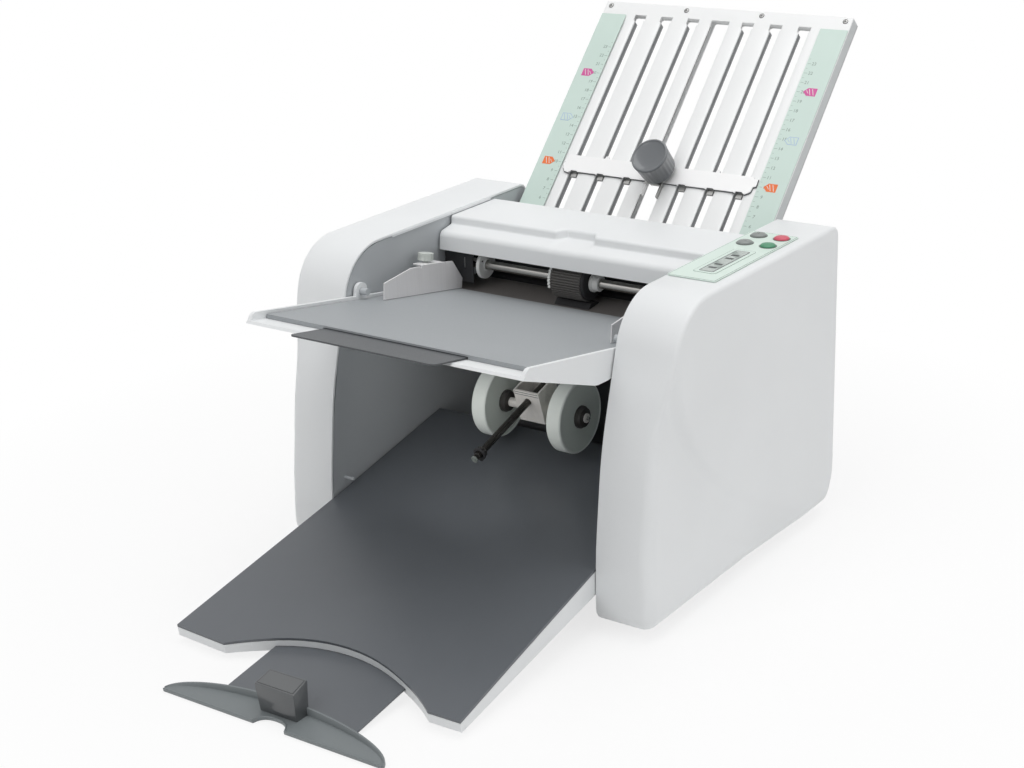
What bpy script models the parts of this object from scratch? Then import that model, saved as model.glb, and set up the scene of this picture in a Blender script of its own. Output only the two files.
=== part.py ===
"""Desk-top paper folding machine.

Lengths are in metres. X runs to the right, -Y to the front, where the paper goes in and comes out,
and +Z up. Inside the machine frame y is 0 at the rear of the side covers and z is 0 on the counter.
"""
import math

import bmesh
import bpy

# General fits and steps
FIT = 0.0003                # gap between faces that rest on or beside each other
RUNNING = 0.0003            # radial gap round a shaft or a pin
OVERRUN = 0.002             # how far a cut runs past the face it opens
ARC_STEP = math.radians(18)
ROUND_STEPS = 20
SMALL_STEPS = 12
BUTTON_STEPS = 16
WHEEL_STEPS = 32
SMOOTH_ANGLE = math.radians(32)

# Side covers, seen from the side
PANEL_TOP = 0.2525
PANEL_BOTTOM = 0.015
PANEL_FRONT_AT_TOP = 0.2470
PANEL_FRONT_AT_BOTTOM = 0.2921
PANEL_SHOULDER_RADIUS = 0.048
PANEL_BROW_Y = 0.2803       # where the front's upper and middle runs would meet
PANEL_BROW_Z = 0.1422
PANEL_CHIN_Y = 0.2903       # where the middle and lower runs would meet
PANEL_CHIN_Z = 0.0663
PANEL_BULGE_RADIUS = 0.300
PANEL_TOE_RADIUS = 0.012
PANEL_HEEL_RADIUS = 0.018
PANEL_CREST_RADIUS = 0.0095
PANEL_WALL = 0.0025
PANEL_SOFT_EDGE = 0.0060
PANEL_SOFT_STEPS = 4
PANEL_THICKNESS = 0.052
CLEAR_WIDTH = 0.257         # between the inner faces of the two sides
FRAME_RECESS = 0.0005
FRAME_THICKNESS = 0.0025

# Base, feet and rear
BASE_THICKNESS = 0.002
BASE_FLANGE = 0.014
BASE_FRONT = 0.262
BASE_REAR = 0.008
FOOT_RADIUS = 0.011
FOOT_TAPER = 0.0015
FOOT_INSET_X = 0.020
FOOT_INSET_Y = 0.022
REAR_PANEL_DEPTH = 0.0045
REAR_PANEL_THICKNESS = 0.0015
REAR_PANEL_TOP = 0.226
WINDOW_MARGIN = 0.0015
VENT_COUNT = 6
VENT_LENGTH = 0.030
VENT_WIDTH = 0.0026
VENT_PITCH = 0.0068
VENT_X = -0.070
VENT_Z = 0.080

# Mains inlet and switch on the rear panel
INLET_X = 0.086
INLET_Z = 0.047
INLET_WIDTH = 0.0275
INLET_HEIGHT = 0.0200
INLET_FLANGE = 0.0030
INLET_FLANGE_THICKNESS = 0.0018
INLET_DEPTH = 0.022
INLET_SOCKET_DEPTH = 0.015
INLET_SOCKET_WALL = 0.0025
INLET_PIN_WIDTH = 0.0020
INLET_PIN_HEIGHT = 0.0040
INLET_PIN_PITCH = 0.0070
INLET_PIN_RISE = 0.0022
INLET_CORNER = 0.0045
SWITCH_X = 0.050
SWITCH_WIDTH = 0.0140
SWITCH_HEIGHT = 0.0210
SWITCH_DEPTH = 0.0090
SWITCH_PROUD = 0.0030
SWITCH_WAIST = 0.0016
SWITCH_TILT = math.radians(8)
SWITCH_GAP = 0.0008

# Control panel on the right cover
LABEL_MARGIN = 0.0015       # from the cover's inner face
LABEL_WIDTH = 0.0410
LABEL_FRONT = 0.187
LABEL_REAR = 0.052
LABEL_THICKNESS = 0.0008
LABEL_CORNER = 0.004
DISPLAY_INSET = 0.0165      # from the label's left edge
DISPLAY_WIDTH = 0.0112
DISPLAY_FRONT = 0.167
DISPLAY_REAR = 0.109
DISPLAY_THICKNESS = 0.0006
BUTTON_RADIUS = 0.0065
BUTTON_RISE = 0.0024
BUTTON_DOME = 0.0014
BUTTON_FLANGE = 0.0011
BUTTON_FLANGE_THICKNESS = 0.0016
BUTTON_INSET = 0.0112       # from the label's left edge
BUTTON_COLUMN_PITCH = 0.0203
BUTTON_ROW_REAR = 0.0635
BUTTON_ROW_FRONT = 0.0865

# Top cover over the rollers
COVER_TOP = 0.2492
COVER_REAR = 0.0495
COVER_STEP_Y = 0.1147
COVER_STEP_HEIGHT = 0.0070
COVER_LEDGE_DROP = 0.0032
COVER_FRONT = 0.1316
COVER_FASCIA_Y = 0.1330
COVER_FASCIA_BOTTOM = 0.2243
COVER_REAR_BOTTOM = 0.2345
COVER_WALL = 0.0025
COVER_SIDE_GAP = 0.0012
COVER_EDGE_RADIUS = 0.0022
COVER_NOTCH_DEPTH = 0.0095
COVER_NOTCH_WIDTH = 0.026
COVER_NOTCH_SLOPE = 0.006
COVER_PIN_RADIUS = 0.0025
COVER_HINGE_Y = 0.0550
COVER_HINGE_Z = 0.2385

# Feed shaft and what sits on it
FEED_Y = 0.115
FEED_Z = 0.2105
SHAFT_RADIUS = 0.004
FEED_ROLLER_RADIUS = 0.0165
FEED_ROLLER_LEFT = -0.0155
FEED_ROLLER_RIGHT = 0.0130
FEED_ROLLER_HUB_RIGHT = 0.0210
FEED_ROLLER_HUB_RADIUS = 0.0158
FEED_RIBS = 20
FEED_RIB_DEPTH = 0.0007
RING_RADIUS = 0.0150
RING_WIDTH = 0.0045
RING_TEETH = 18
RING_TOOTH_DEPTH = 0.0012
DISC_RADIUS = 0.0108
DISC_RIGHT = -0.0905
DISC_WIDTH = 0.0070
DISC_HUB_RADIUS = 0.0072
DISC_HUB_WIDTH = 0.0060
COLLAR_RADIUS = 0.0082
COLLAR_LEFT = 0.0214
COLLAR_WIDTH = 0.0030
COLLAR_NECK_RADIUS = 0.0063
COLLAR_NECK_WIDTH = 0.0068

# Fold rollers and their gears
ROLLER_RADIUS = 0.0125
NIP_GAP = 0.0004
ROLLER_SIDE_GAP = 0.0085
MAIN_ROLLER_Y = 0.0803
MAIN_ROLLER_Z = 0.1837
ENTRY_TILT = math.radians(5)
EXIT_TILT = math.radians(14)
GEAR_TEETH = 20
IDLER_TEETH = 12
FEED_GEAR_TEETH = 16
GEAR_WIDTH = 0.007
GEAR_GAP = 0.0025           # from the frame's outer face to the gears
TOOTH_ADDENDUM = 0.0005
TOOTH_DEDENDUM = 0.0010
TOOTH_TIP_SHARE = 0.24
TOOTH_ROOT_SHARE = 0.50
GEAR_BOSS = 0.0012
IDLER_PIN_RADIUS = 0.0025
SHAFT_END = 0.0035          # how far a shaft runs past the right frame

# Motor, pulleys and belt
MOTOR_Y = 0.045
MOTOR_Z = 0.062
MOTOR_RADIUS = 0.026
MOTOR_LENGTH = 0.070
MOTOR_EDGE = 0.002
MOTOR_SHAFT_RADIUS = 0.003
MOTOR_BORE_DEPTH = 0.012
PULLEY_GAP = 0.0035         # from the gears to the pulleys
PULLEY_WIDTH = 0.0085
MOTOR_PULLEY_RADIUS = 0.010
ROLLER_PULLEY_RADIUS = 0.021
BELT_THICKNESS = 0.0014
BELT_WIDTH = 0.0070

# Guide plate and separator pad under the feed roller
GUIDE_FRONT = 0.126
GUIDE_REAR = 0.094
GUIDE_FRONT_Z = 0.1885
GUIDE_REAR_Z = 0.1920
GUIDE_THICKNESS = 0.0025
GUIDE_LIP = 0.010
PAD_HALF_WIDTH = 0.017
PAD_HALF_DEPTH = 0.008
PAD_GAP = 0.0005

# Upper fold plate: y along the plate, z out of its face, origin at its top edge
UPPER_MOUTH_BACK = 0.00272  # from the third roller's axis to the plate's lower end
UPPER_MOUTH_RISE = 0.01787
UPPER_TILT = math.radians(45.82)
UPPER_LENGTH = 0.2693
PLATE_SIDE_GAP = 0.0040
PLATE_DEPTH = 0.0125
SHEET = 0.0012
RAIL_WIDTH = 0.0030
TOP_RAIL_WIDTH = 0.0080
SLOT_COUNT = 7
SLOT_SIDE_MARGIN = 0.0152   # from the outermost slot to the scale
SLOT_WIDTH = 0.0096
SLOT_CENTRE_WIDTH = 0.0184
REAR_SLOT_WIDTH = 0.0205    # in the channel behind the face
SLOT_TOP = 0.0125
SLOT_BOTTOM_MARGIN = 0.024
KEYHOLE_WIDTH = 0.0122
KEYHOLE_LENGTH = 0.0060
PLATE_PIN_RADIUS = 0.003
PLATE_PIN_RISE = 0.0075
UPPER_PIN_NEAR = 0.0143     # from the plate's mouth
UPPER_PIN_FAR = 0.0539
SCALE_WIDTH = 0.0262
SCALE_THICKNESS = 0.0005
SCALE_TOP = 0.0135
SCALE_BOTTOM_MARGIN = 0.032

# Stop bar and knob, used on both fold plates
STOP_SIDE_GAP = 0.0038      # from the bar to the scale
STOP_WIDTH = 0.0160
STOP_THICKNESS = 0.0014
STOP_END_STEP = 0.0045
STOP_TAB_WIDTH = 0.0058
STOP_TAB_LENGTH = 0.0035
STOP_TAB_DEPTH = 0.0085
STOP_CENTRE_TAB_WIDTH = 0.0150
STOP_TAB_SETBACK = 0.0005
UPPER_STOP_AT = 0.0958      # from the plate's mouth
KNOB_RADIUS = 0.0160
KNOB_BASE_RADIUS = 0.0146
KNOB_HEIGHT = 0.0215
KNOB_LIFT = 0.0045
KNOB_EDGE = 0.0010
KNOB_STEM_RADIUS = 0.0030
KNOB_X = 0.0050
KNOB_FORWARD = 0.0015
KNOB_DIMPLE_RADIUS = 0.0125
KNOB_DIMPLE = 0.0008
KNOB_STEM_DEPTH = 0.0060

# Lower fold plate: y along the plate to the rear, origin at its mouth
LOWER_MOUTH_Y = 0.052
LOWER_MOUTH_Z = 0.158
LOWER_TILT = math.radians(-25)
LOWER_LENGTH = 0.172
LOWER_DEPTH = 0.010
LOWER_SLOT_COUNT = 5
LOWER_SLOT_MARGIN = 0.0263
LOWER_SLOT_WIDTH = 0.0096
LOWER_SLOT_START = 0.068
LOWER_SLOT_END_MARGIN = 0.010
LOWER_PIN_NEAR = 0.0120
LOWER_PIN_FAR = 0.0327
LOWER_PIN_RISE = 0.005
LOWER_STOP_AT = 0.122

# Feed table: y along the table to the rear, z out of its face, origin at the studs
TABLE_PIVOT_Y = 0.2407
TABLE_PIVOT_Z = 0.2168
TABLE_TILT = math.radians(-9.86)
TABLE_FRONT = 0.1316
TABLE_REAR = 0.1120
TABLE_SIDE_GAP = 0.0010
TABLE_WALL = 0.0030
TABLE_RIDGE = 0.0040        # below the studs
TABLE_FLOOR_TOP = 0.0100
TABLE_FLOOR_BOTTOM = 0.0122
TABLE_KEEL = 0.0288
TABLE_KEEL_FRONT = 0.0370
TABLE_KEEL_REAR = 0.0070
TABLE_KEEL_RADIUS = 0.016
TABLE_WALL_FRONT = 0.1270
TABLE_WALL_RADIUS = 0.006
TABLE_WALL_DEPTH = 0.0185
TABLE_KEEL_HEIGHT = 0.0262
TABLE_KEEL_BREAK = 0.0175
TABLE_LIP_RADIUS = 0.002
EAR_TOP = 0.0068
EAR_RADIUS = 0.0060
EAR_HALF_WIDTH = 0.0068
STUD_RADIUS = 0.0030
STUD_LENGTH = 0.0105
DECK_TOP = 0.0065
DECK_SHEET = 0.0015
DECK_FRONT = 0.1130
DECK_SIDE_GAP = 0.0008
DECK_RAIL_INNER = 0.0670
EXTENSION_HALF_WIDTH = 0.0660
EXTENSION_THICKNESS = 0.0012
EXTENSION_FRONT = 0.1520
EXTENSION_LENGTH = 0.1600
EXTENSION_CORNER = 0.004

# Paper guides on the deck and their clamping screws
GUIDE_INSET = 0.0205        # from the side frames' line to the guides
GUIDE_PLATE_THICKNESS = 0.0012
GUIDE_START = 0.0082
GUIDE_START_RISE = 0.0150
GUIDE_BREAK = 0.0407
GUIDE_BREAK_RISE = 0.0232
GUIDE_SEAT_START = 0.0559
GUIDE_SEAT_END = 0.0870
GUIDE_SEAT_RISE = 0.0258
GUIDE_NOSE_START = 0.0971
GUIDE_NOSE_RISE = 0.0246
GUIDE_END = 0.1135
GUIDE_END_RISE = 0.0082
GUIDE_FLANGE = 0.0155
GUIDE_FLANGE_RISE = 0.0003
THUMB_AT = 0.0719
THUMB_OUT = 0.0085
THUMB_RADIUS = 0.0066
THUMB_HEIGHT = 0.0060
THUMB_KNURLS = 14
THUMB_KNURL_DEPTH = 0.0005
THUMB_STEM_RADIUS = 0.0020

# Delivery rod, bracket and wheels: y along the rod to the rear, origin at its hinge
ROD_HINGE_Y = 0.1165
ROD_HINGE_Z = 0.1503
ROD_TILT = math.radians(17.46)
ROD_LENGTH = 0.1512
ROD_RADIUS = 0.0030
ROD_PIN_RADIUS = 0.0022
ROD_PIN_HALF = 0.0095
ROD_EYE_RADIUS = 0.0042
ROD_EYE_HALF = 0.0040
ROD_CLIP_AT = 0.1440
ROD_CLIP_RADIUS = 0.0050
ROD_CLIP_WIDTH = 0.0016
BRACKET_HALF_WIDTH = 0.0122
BRACKET_FRONT = 0.0765
BRACKET_REAR = 0.0510
BRACKET_SHEET = 0.0015
BRACKET_TOP = 0.0099
BRACKET_BOTTOM = 0.0205
AXLE_AT = 0.0648
AXLE_DROP = 0.0145
AXLE_RADIUS = 0.0025
AXLE_HEAD_RADIUS = 0.0040
AXLE_HEAD = 0.0020
WHEEL_RADIUS = 0.0295
WHEEL_WIDTH = 0.0133
WHEEL_X = 0.0370
WHEEL_EDGE = 0.0010
WHEEL_HUB_RADIUS = 0.0072
WHEEL_HUB_PROUD = 0.0010
BAR_FRONT = 0.1080
BAR_DEPTH = 0.0100
BAR_BOTTOM = 0.1470
BAR_HEIGHT = 0.0100
LUG_INNER = 0.0046
LUG_THICKNESS = 0.0030
LUG_HALF_DEPTH = 0.0060
LUG_HALF_HEIGHT = 0.0030

# Delivery tray: y along its underside to the rear, z up from the underside, origin at its front edge
TRAY_SIDE_GAP = 0.0010
TRAY_REACH = 0.1789         # in front of the covers
TRAY_FRONT_Z = 0.0045
TRAY_TILT = math.radians(8.3)
TRAY_LENGTH = 0.3345
TRAY_FRONT_HEIGHT = 0.0096
TRAY_REAR_HEIGHT = 0.0297
TRAY_WALL = 0.0020
TRAY_FLOOR = 0.0020
TRAY_DECK_THICKNESS = 0.0020
TRAY_PAD_RADIUS = 0.0070
TRAY_PAD_AT = 0.0120
TRAY_PAD_INSET = 0.0195
TRAY_PAD_CLEARANCE = 0.0002
RECESS_CLEARANCE = 0.0015
TRAY_PIN_RADIUS = 0.0025
TRAY_PIN_LENGTH = 0.0090
TRAY_PIN_AT = 0.2640
TRAY_PIN_RISE = 0.0115
HOLD_PIN_RADIUS = 0.0013
HOLD_PIN_Y = 0.2720
HOLD_PIN_Z = 0.0640

# Tray extension and the crescent stop on it, in the tray's frame
STRETCH_X = 0.0100
STRETCH_HALF_WIDTH = 0.0605
STRETCH_THICKNESS = 0.0015
STRETCH_REACH = 0.0344      # how far it shows in front of the tray
STRETCH_LENGTH = 0.1500
STRETCH_CORNER = 0.005
CRESCENT_SIDE_MARGIN = 0.0185
CRESCENT_REACH = 0.0575
CRESCENT_END_WIDTH = 0.0050
CRESCENT_SAGITTA = 0.0450
CRESCENT_HEIGHT = 0.0085
CRESCENT_RIM = 0.0022
CRESCENT_FLOOR = 0.0030
CRESCENT_STEPS = 20
STOP_TRAVEL = 0.042         # how far the stop goes back into the tray's recess
THUMB_NOTCH_RADIUS = 0.0130
THUMB_NOTCH_DEPTH = 0.0050
THUMB_NOTCH_STEPS = 6
BLOCK_HALF_TOP = 0.0172
BLOCK_HALF_BOTTOM = 0.0150
BLOCK_HEIGHT = 0.0250
BLOCK_TOP_REACH = 0.0480
BLOCK_TOP_DEPTH = 0.0185
BLOCK_BOTTOM_REACH = 0.0445
BLOCK_BOTTOM_DEPTH = 0.0145

# Places that follow from the sizes above
SIDE_INNER = CLEAR_WIDTH / 2
SIDE_OUTER = SIDE_INNER + PANEL_THICKNESS
FRAME_INNER = SIDE_INNER + FRAME_RECESS
FRAME_OUTER = FRAME_INNER + FRAME_THICKNESS
GEAR_START = FRAME_OUTER + GEAR_GAP
GEAR_END = GEAR_START + GEAR_WIDTH
PULLEY_START = GEAR_END + PULLEY_GAP
PULLEY_END = PULLEY_START + PULLEY_WIDTH
ROLLER_PITCH = 2 * ROLLER_RADIUS + NIP_GAP
GEAR_MODULE = ROLLER_PITCH / GEAR_TEETH
UPPER_TOP_Y = ROLLER_PITCH - MAIN_ROLLER_Y + UPPER_MOUTH_BACK + UPPER_LENGTH * math.cos(UPPER_TILT)
UPPER_TOP_Z = MAIN_ROLLER_Z + UPPER_MOUTH_RISE + UPPER_LENGTH * math.sin(UPPER_TILT)
UPPER_REAR_Y = UPPER_TOP_Y + PLATE_DEPTH * math.sin(UPPER_TILT)
PLATE_HALF_WIDTH = SIDE_INNER - PLATE_SIDE_GAP
SLOT_FIELD = PLATE_HALF_WIDTH - SCALE_WIDTH
SLOT_PITCH = 2 * (SLOT_FIELD - SLOT_SIDE_MARGIN) / (SLOT_COUNT - 1)
LOWER_SLOT_PITCH = 2 * (SLOT_FIELD - LOWER_SLOT_MARGIN) / (LOWER_SLOT_COUNT - 1)
STOP_HALF_LENGTH = SLOT_FIELD - STOP_SIDE_GAP
LABEL_LEFT = SIDE_INNER + LABEL_MARGIN
DISPLAY_LEFT = LABEL_LEFT + DISPLAY_INSET
ROLLER_RUBBER_HALF = SIDE_INNER - ROLLER_SIDE_GAP
GUIDE_PLATE_X = SIDE_INNER - GUIDE_INSET
TRAY_HALF_WIDTH = SIDE_INNER - TRAY_SIDE_GAP
TRAY_FRONT = PANEL_FRONT_AT_BOTTOM + TRAY_REACH
CRESCENT_HALF_WIDTH = TRAY_HALF_WIDTH - STRETCH_X - CRESCENT_SIDE_MARGIN
STOP_TOP = TRAY_FLOOR + 2 * FIT + STRETCH_THICKNESS + CRESCENT_HEIGHT
STOP_FRONT_Y = TRAY_FRONT + CRESCENT_REACH * math.cos(TRAY_TILT) + STOP_TOP * math.sin(TRAY_TILT)
MACHINE_SHIFT_Y = (STOP_FRONT_Y - UPPER_REAR_Y) / 2

MATERIALS = {
    "white_casing": ((0.86, 0.87, 0.88), 0.45, 0.0),
    "plate_enamel": ((0.80, 0.81, 0.81), 0.35, 0.2),
    "grey_frame": ((0.27, 0.285, 0.30), 0.5, 0.1),
    "dark_sheet": ((0.075, 0.078, 0.085), 0.5, 0.2),
    "grey_deck": ((0.33, 0.35, 0.37), 0.5, 0.0),
    "green_label": ((0.72, 0.86, 0.79), 0.4, 0.0),
    "display_glass": ((0.40, 0.47, 0.43), 0.2, 0.0),
    "grey_button": ((0.22, 0.24, 0.23), 0.35, 0.0),
    "green_button": ((0.06, 0.28, 0.14), 0.35, 0.0),
    "red_button": ((0.62, 0.07, 0.12), 0.35, 0.0),
    "steel": ((0.70, 0.70, 0.70), 0.3, 0.95),
    "brushed_steel": ((0.62, 0.62, 0.62), 0.4, 0.9),
    "black_rubber": ((0.02, 0.02, 0.022), 0.7, 0.0),
    "white_nylon": ((0.80, 0.81, 0.80), 0.4, 0.0),
    "wheel_grey": ((0.50, 0.54, 0.53), 0.55, 0.0),
    "dark_knob": ((0.065, 0.068, 0.072), 0.45, 0.0),
    "stop_grey": ((0.18, 0.20, 0.21), 0.4, 0.0),
    "motor_metal": ((0.35, 0.35, 0.36), 0.45, 0.7),
}


def clear_scene():
    """Remove whatever the file opened with."""
    for old in list(bpy.data.objects):
        bpy.data.objects.remove(old, do_unlink=True)


def finish_material(name):
    """Return the named material, made on first use."""
    found = bpy.data.materials.get(name)
    if found:
        return found
    colour, roughness, metallic = MATERIALS[name]
    made = bpy.data.materials.new(name)
    made.use_nodes = True
    shader = made.node_tree.nodes["Principled BSDF"]
    shader.inputs["Base Color"].default_value = (*colour, 1.0)
    shader.inputs["Roughness"].default_value = roughness
    shader.inputs["Metallic"].default_value = metallic
    return made


def frame(name, parent, y, z, tilt=0.0):
    """Place an empty that carries pieces, tilted about X."""
    empty = bpy.data.objects.new(name, None)
    bpy.context.scene.collection.objects.link(empty)
    empty.parent = parent
    empty.location = (0, y, z)
    empty.rotation_euler = (tilt, 0, 0)
    return empty


def piece(name, bm, material, parent, pivot=(0, 0, 0), smooth=True):
    """Turn a closed bmesh into a named object whose origin is its pivot."""
    bmesh.ops.recalc_face_normals(bm, faces=bm.faces)
    bmesh.ops.translate(bm, verts=bm.verts, vec=[-value for value in pivot])
    mesh = bpy.data.meshes.new(name)
    bm.to_mesh(mesh)
    bm.free()
    if smooth:
        mesh.shade_smooth()
        mesh.set_sharp_from_angle(angle=SMOOTH_ANGLE)
    mesh.materials.append(finish_material(material))
    made = bpy.data.objects.new(name, mesh)
    bpy.context.scene.collection.objects.link(made)
    made.parent = parent
    made.location = pivot
    return made


def combine(target, bm, operation, label):
    """Cut a solid out of a piece, or join one to it, with a hidden helper."""
    helper = piece(target.name + "_" + label, bm, target.data.materials[0].name, target.parent)
    helper.hide_render = True
    helper.display_type = "WIRE"
    step = target.modifiers.new(label, "BOOLEAN")
    step.operation = operation
    step.solver = "EXACT"
    step.object = helper
    return target


def cut(target, bm, label="cut"):
    """Cut the solids in a bmesh out of a piece."""
    return combine(target, bm, "DIFFERENCE", label)


def join(target, bm, label="join"):
    """Join a solid to a piece."""
    return combine(target, bm, "UNION", label)


def spot(axis, a, b, along):
    """Give the point at (a, b) across an axis and at a place along it."""
    return {"x": (along, a, b), "y": (a, along, b), "z": (a, b, along)}[axis]


def loft(rings, bm=None):
    """Skin a run of rings with equal counts and close both ends."""
    bm = bm or bmesh.new()
    rows = [[bm.verts.new(point) for point in ring] for ring in rings]
    count = len(rows[0])
    for near, far in zip(rows, rows[1:]):
        for index in range(count):
            after = (index + 1) % count
            bm.faces.new((near[index], near[after], far[after], far[index]))
    bm.faces.new(list(reversed(rows[0])))
    bm.faces.new(rows[-1])
    return bm


def extrude(outline, axis, start, end, bm=None):
    """Run an outline along an axis."""
    rings = [[spot(axis, a, b, along) for a, b in outline] for along in (start, end)]
    return loft(rings, bm)


def block(low, high, bm=None):
    """Make a plain box between two corners."""
    outline = [(low[1], low[2]), (high[1], low[2]), (high[1], high[2]), (low[1], high[2])]
    return extrude(outline, "x", low[0], high[0], bm)


def band(inner, outer, axis, start, end, bm=None):
    """Make a ring-shaped wall between two outlines with equal counts."""
    bm = bm or bmesh.new()
    corners = ((inner, start), (outer, start), (outer, end), (inner, end))
    rows = [[bm.verts.new(spot(axis, a, b, along)) for a, b in outline] for outline, along in corners]
    count = len(inner)
    for row, near in enumerate(rows):
        far = rows[(row + 1) % len(rows)]
        for index in range(count):
            after = (index + 1) % count
            bm.faces.new((near[index], near[after], far[after], far[index]))
    return bm


def circle(a, b, radius, steps, phase=0.0):
    """Give the points of a circle."""
    turns = [phase + math.tau * index / steps for index in range(steps)]
    return [(a + radius * math.cos(turn), b + radius * math.sin(turn)) for turn in turns]


def turned(profile, axis, a, b, steps=ROUND_STEPS, bm=None):
    """Turn a run of (radius, place) points about an axis; a radius of 0 closes an end."""
    bm = bm or bmesh.new()
    rows = []
    for radius, along in profile:
        if radius:
            rows.append([bm.verts.new(spot(axis, u, v, along)) for u, v in circle(a, b, radius, steps)])
        else:
            rows.append([bm.verts.new(spot(axis, a, b, along))])
    pairs = list(zip(rows, rows[1:]))
    if profile[0][0] and profile[-1][0]:
        pairs.append((rows[-1], rows[0]))
    for near, far in pairs:
        for index in range(steps):
            after = (index + 1) % steps
            if len(near) == 1:
                bm.faces.new((near[0], far[after], far[index]))
            elif len(far) == 1:
                bm.faces.new((near[index], near[after], far[0]))
            else:
                bm.faces.new((near[index], near[after], far[after], far[index]))
    return bm


def rod(axis, a, b, radius, start, end, steps=SMALL_STEPS, bm=None):
    """Make a plain round bar."""
    return extrude(circle(a, b, radius, steps), axis, start, end, bm)


def fillet(corners):
    """Round the corners of an outline given as (a, b, radius)."""
    points = []
    count = len(corners)
    for index, (a, b, radius) in enumerate(corners):
        if not radius:
            points.append((a, b))
            continue
        before = corners[index - 1]
        after = corners[(index + 1) % count]
        in_a, in_b = before[0] - a, before[1] - b
        out_a, out_b = after[0] - a, after[1] - b
        in_length = math.hypot(in_a, in_b)
        out_length = math.hypot(out_a, out_b)
        in_a, in_b = in_a / in_length, in_b / in_length
        out_a, out_b = out_a / out_length, out_b / out_length
        corner = math.acos(max(-1.0, min(1.0, in_a * out_a + in_b * out_b)))
        reach = radius / math.tan(corner / 2)
        middle_a, middle_b = in_a + out_a, in_b + out_b
        middle_length = math.hypot(middle_a, middle_b)
        hub = radius / math.sin(corner / 2)
        centre_a = a + middle_a / middle_length * hub
        centre_b = b + middle_b / middle_length * hub
        first = math.atan2(b + in_b * reach - centre_b, a + in_a * reach - centre_a)
        last = math.atan2(b + out_b * reach - centre_b, a + out_a * reach - centre_a)
        sweep = (last - first + math.pi) % math.tau - math.pi
        steps = max(1, math.ceil(abs(sweep) / ARC_STEP))
        for step in range(steps + 1):
            turn = first + sweep * step / steps
            points.append((centre_a + radius * math.cos(turn), centre_b + radius * math.sin(turn)))
    return points


def inset(outline, distance):
    """Move a rounded outline inwards by a distance."""
    count = len(outline)
    area = sum(outline[i - 1][0] * outline[i][1] - outline[i][0] * outline[i - 1][1] for i in range(count))
    side = math.copysign(1.0, area)
    moved = []
    for index, (a, b) in enumerate(outline):
        near = outline[index - 1]
        far = outline[(index + 1) % count]
        first = math.atan2(b - near[1], a - near[0])
        second = math.atan2(far[1] - b, far[0] - a)
        half = ((second - first + math.pi) % math.tau - math.pi) / 2
        normal = first + half + side * math.pi / 2
        reach = distance / math.cos(half)
        moved.append((a + reach * math.cos(normal), b + reach * math.sin(normal)))
    return moved


def rounded_rectangle(low_a, high_a, low_b, high_b, radius):
    """Give a rectangle with round corners."""
    corners = [(low_a, low_b, radius), (high_a, low_b, radius), (high_a, high_b, radius), (low_a, high_b, radius)]
    return fillet(corners)


def mirrored(low, high, side):
    """Order two places on the left (-1) or right (+1) side."""
    return (low, high) if side > 0 else (-high, -low)


def panel_outline():
    """Side view of a side cover, as (y, z)."""
    return fillet([
        (0, PANEL_BOTTOM, PANEL_HEEL_RADIUS),
        (0, PANEL_TOP, PANEL_CREST_RADIUS),
        (-PANEL_FRONT_AT_TOP, PANEL_TOP, PANEL_SHOULDER_RADIUS),
        (-PANEL_BROW_Y, PANEL_BROW_Z, PANEL_BULGE_RADIUS),
        (-PANEL_CHIN_Y, PANEL_CHIN_Z, PANEL_BULGE_RADIUS),
        (-PANEL_FRONT_AT_BOTTOM, PANEL_BOTTOM, PANEL_TOE_RADIUS),
    ])


def side_cover(name, side, machine):
    """Moulded shell, open towards the frame, with a soft outer edge."""
    outline = panel_outline()
    soft_start = SIDE_OUTER - PANEL_SOFT_EDGE
    places = [
        (SIDE_OUTER - PANEL_WALL, PANEL_WALL + PANEL_SOFT_EDGE * (1 - math.cos(math.pi / 4))),
        (soft_start, PANEL_WALL),
        (SIDE_INNER, PANEL_WALL),
        (SIDE_INNER, 0),
    ]
    for step in range(PANEL_SOFT_STEPS + 1):
        turn = math.pi / 2 * step / PANEL_SOFT_STEPS
        places.append((soft_start + PANEL_SOFT_EDGE * math.sin(turn), PANEL_SOFT_EDGE * (1 - math.cos(turn))))
    rings = [[(side * x, y, z) for y, z in inset(outline, inward)] for x, inward in places]
    return piece(name, loft(rings), "white_casing", machine)


def roller_centres():
    """Centres (y, z) of the four fold rollers, first to last in the paper's path."""
    main_y, main_z = -MAIN_ROLLER_Y, MAIN_ROLLER_Z
    entry = (main_y - ROLLER_PITCH * math.sin(ENTRY_TILT), main_z + ROLLER_PITCH * math.cos(ENTRY_TILT))
    fold = (main_y + ROLLER_PITCH, main_z)
    last = (main_y + ROLLER_PITCH * math.sin(EXIT_TILT), main_z - ROLLER_PITCH * math.cos(EXIT_TILT))
    return [entry, (main_y, main_z), fold, last]


def idler_centre():
    """Centre (y, z) of the gear between the first roller and the feed shaft."""
    entry_y, entry_z = roller_centres()[0]
    reach_y, reach_z = -FEED_Y - entry_y, FEED_Z - entry_z
    span = math.hypot(reach_y, reach_z)
    near = GEAR_MODULE * (GEAR_TEETH + IDLER_TEETH) / 2
    far = GEAR_MODULE * (FEED_GEAR_TEETH + IDLER_TEETH) / 2
    along = (near ** 2 - far ** 2 + span ** 2) / (2 * span)
    rise = math.sqrt(near ** 2 - along ** 2)
    unit_y, unit_z = reach_y / span, reach_z / span
    return entry_y + along * unit_y + rise * unit_z, entry_z + along * unit_z - rise * unit_y


def plate_pins(origin_y, origin_z, tilt, places, rise):
    """Centres (y, z) of a fold plate's side pins from their places along it."""
    pins = []
    for along in places:
        pins.append((origin_y + along * math.cos(tilt) + rise * math.sin(tilt),
                     origin_z + along * math.sin(tilt) - rise * math.cos(tilt)))
    return pins


def upper_pin_places():
    """Places of the upper plate's pins along it."""
    return UPPER_PIN_FAR - UPPER_LENGTH, UPPER_PIN_NEAR - UPPER_LENGTH


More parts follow.
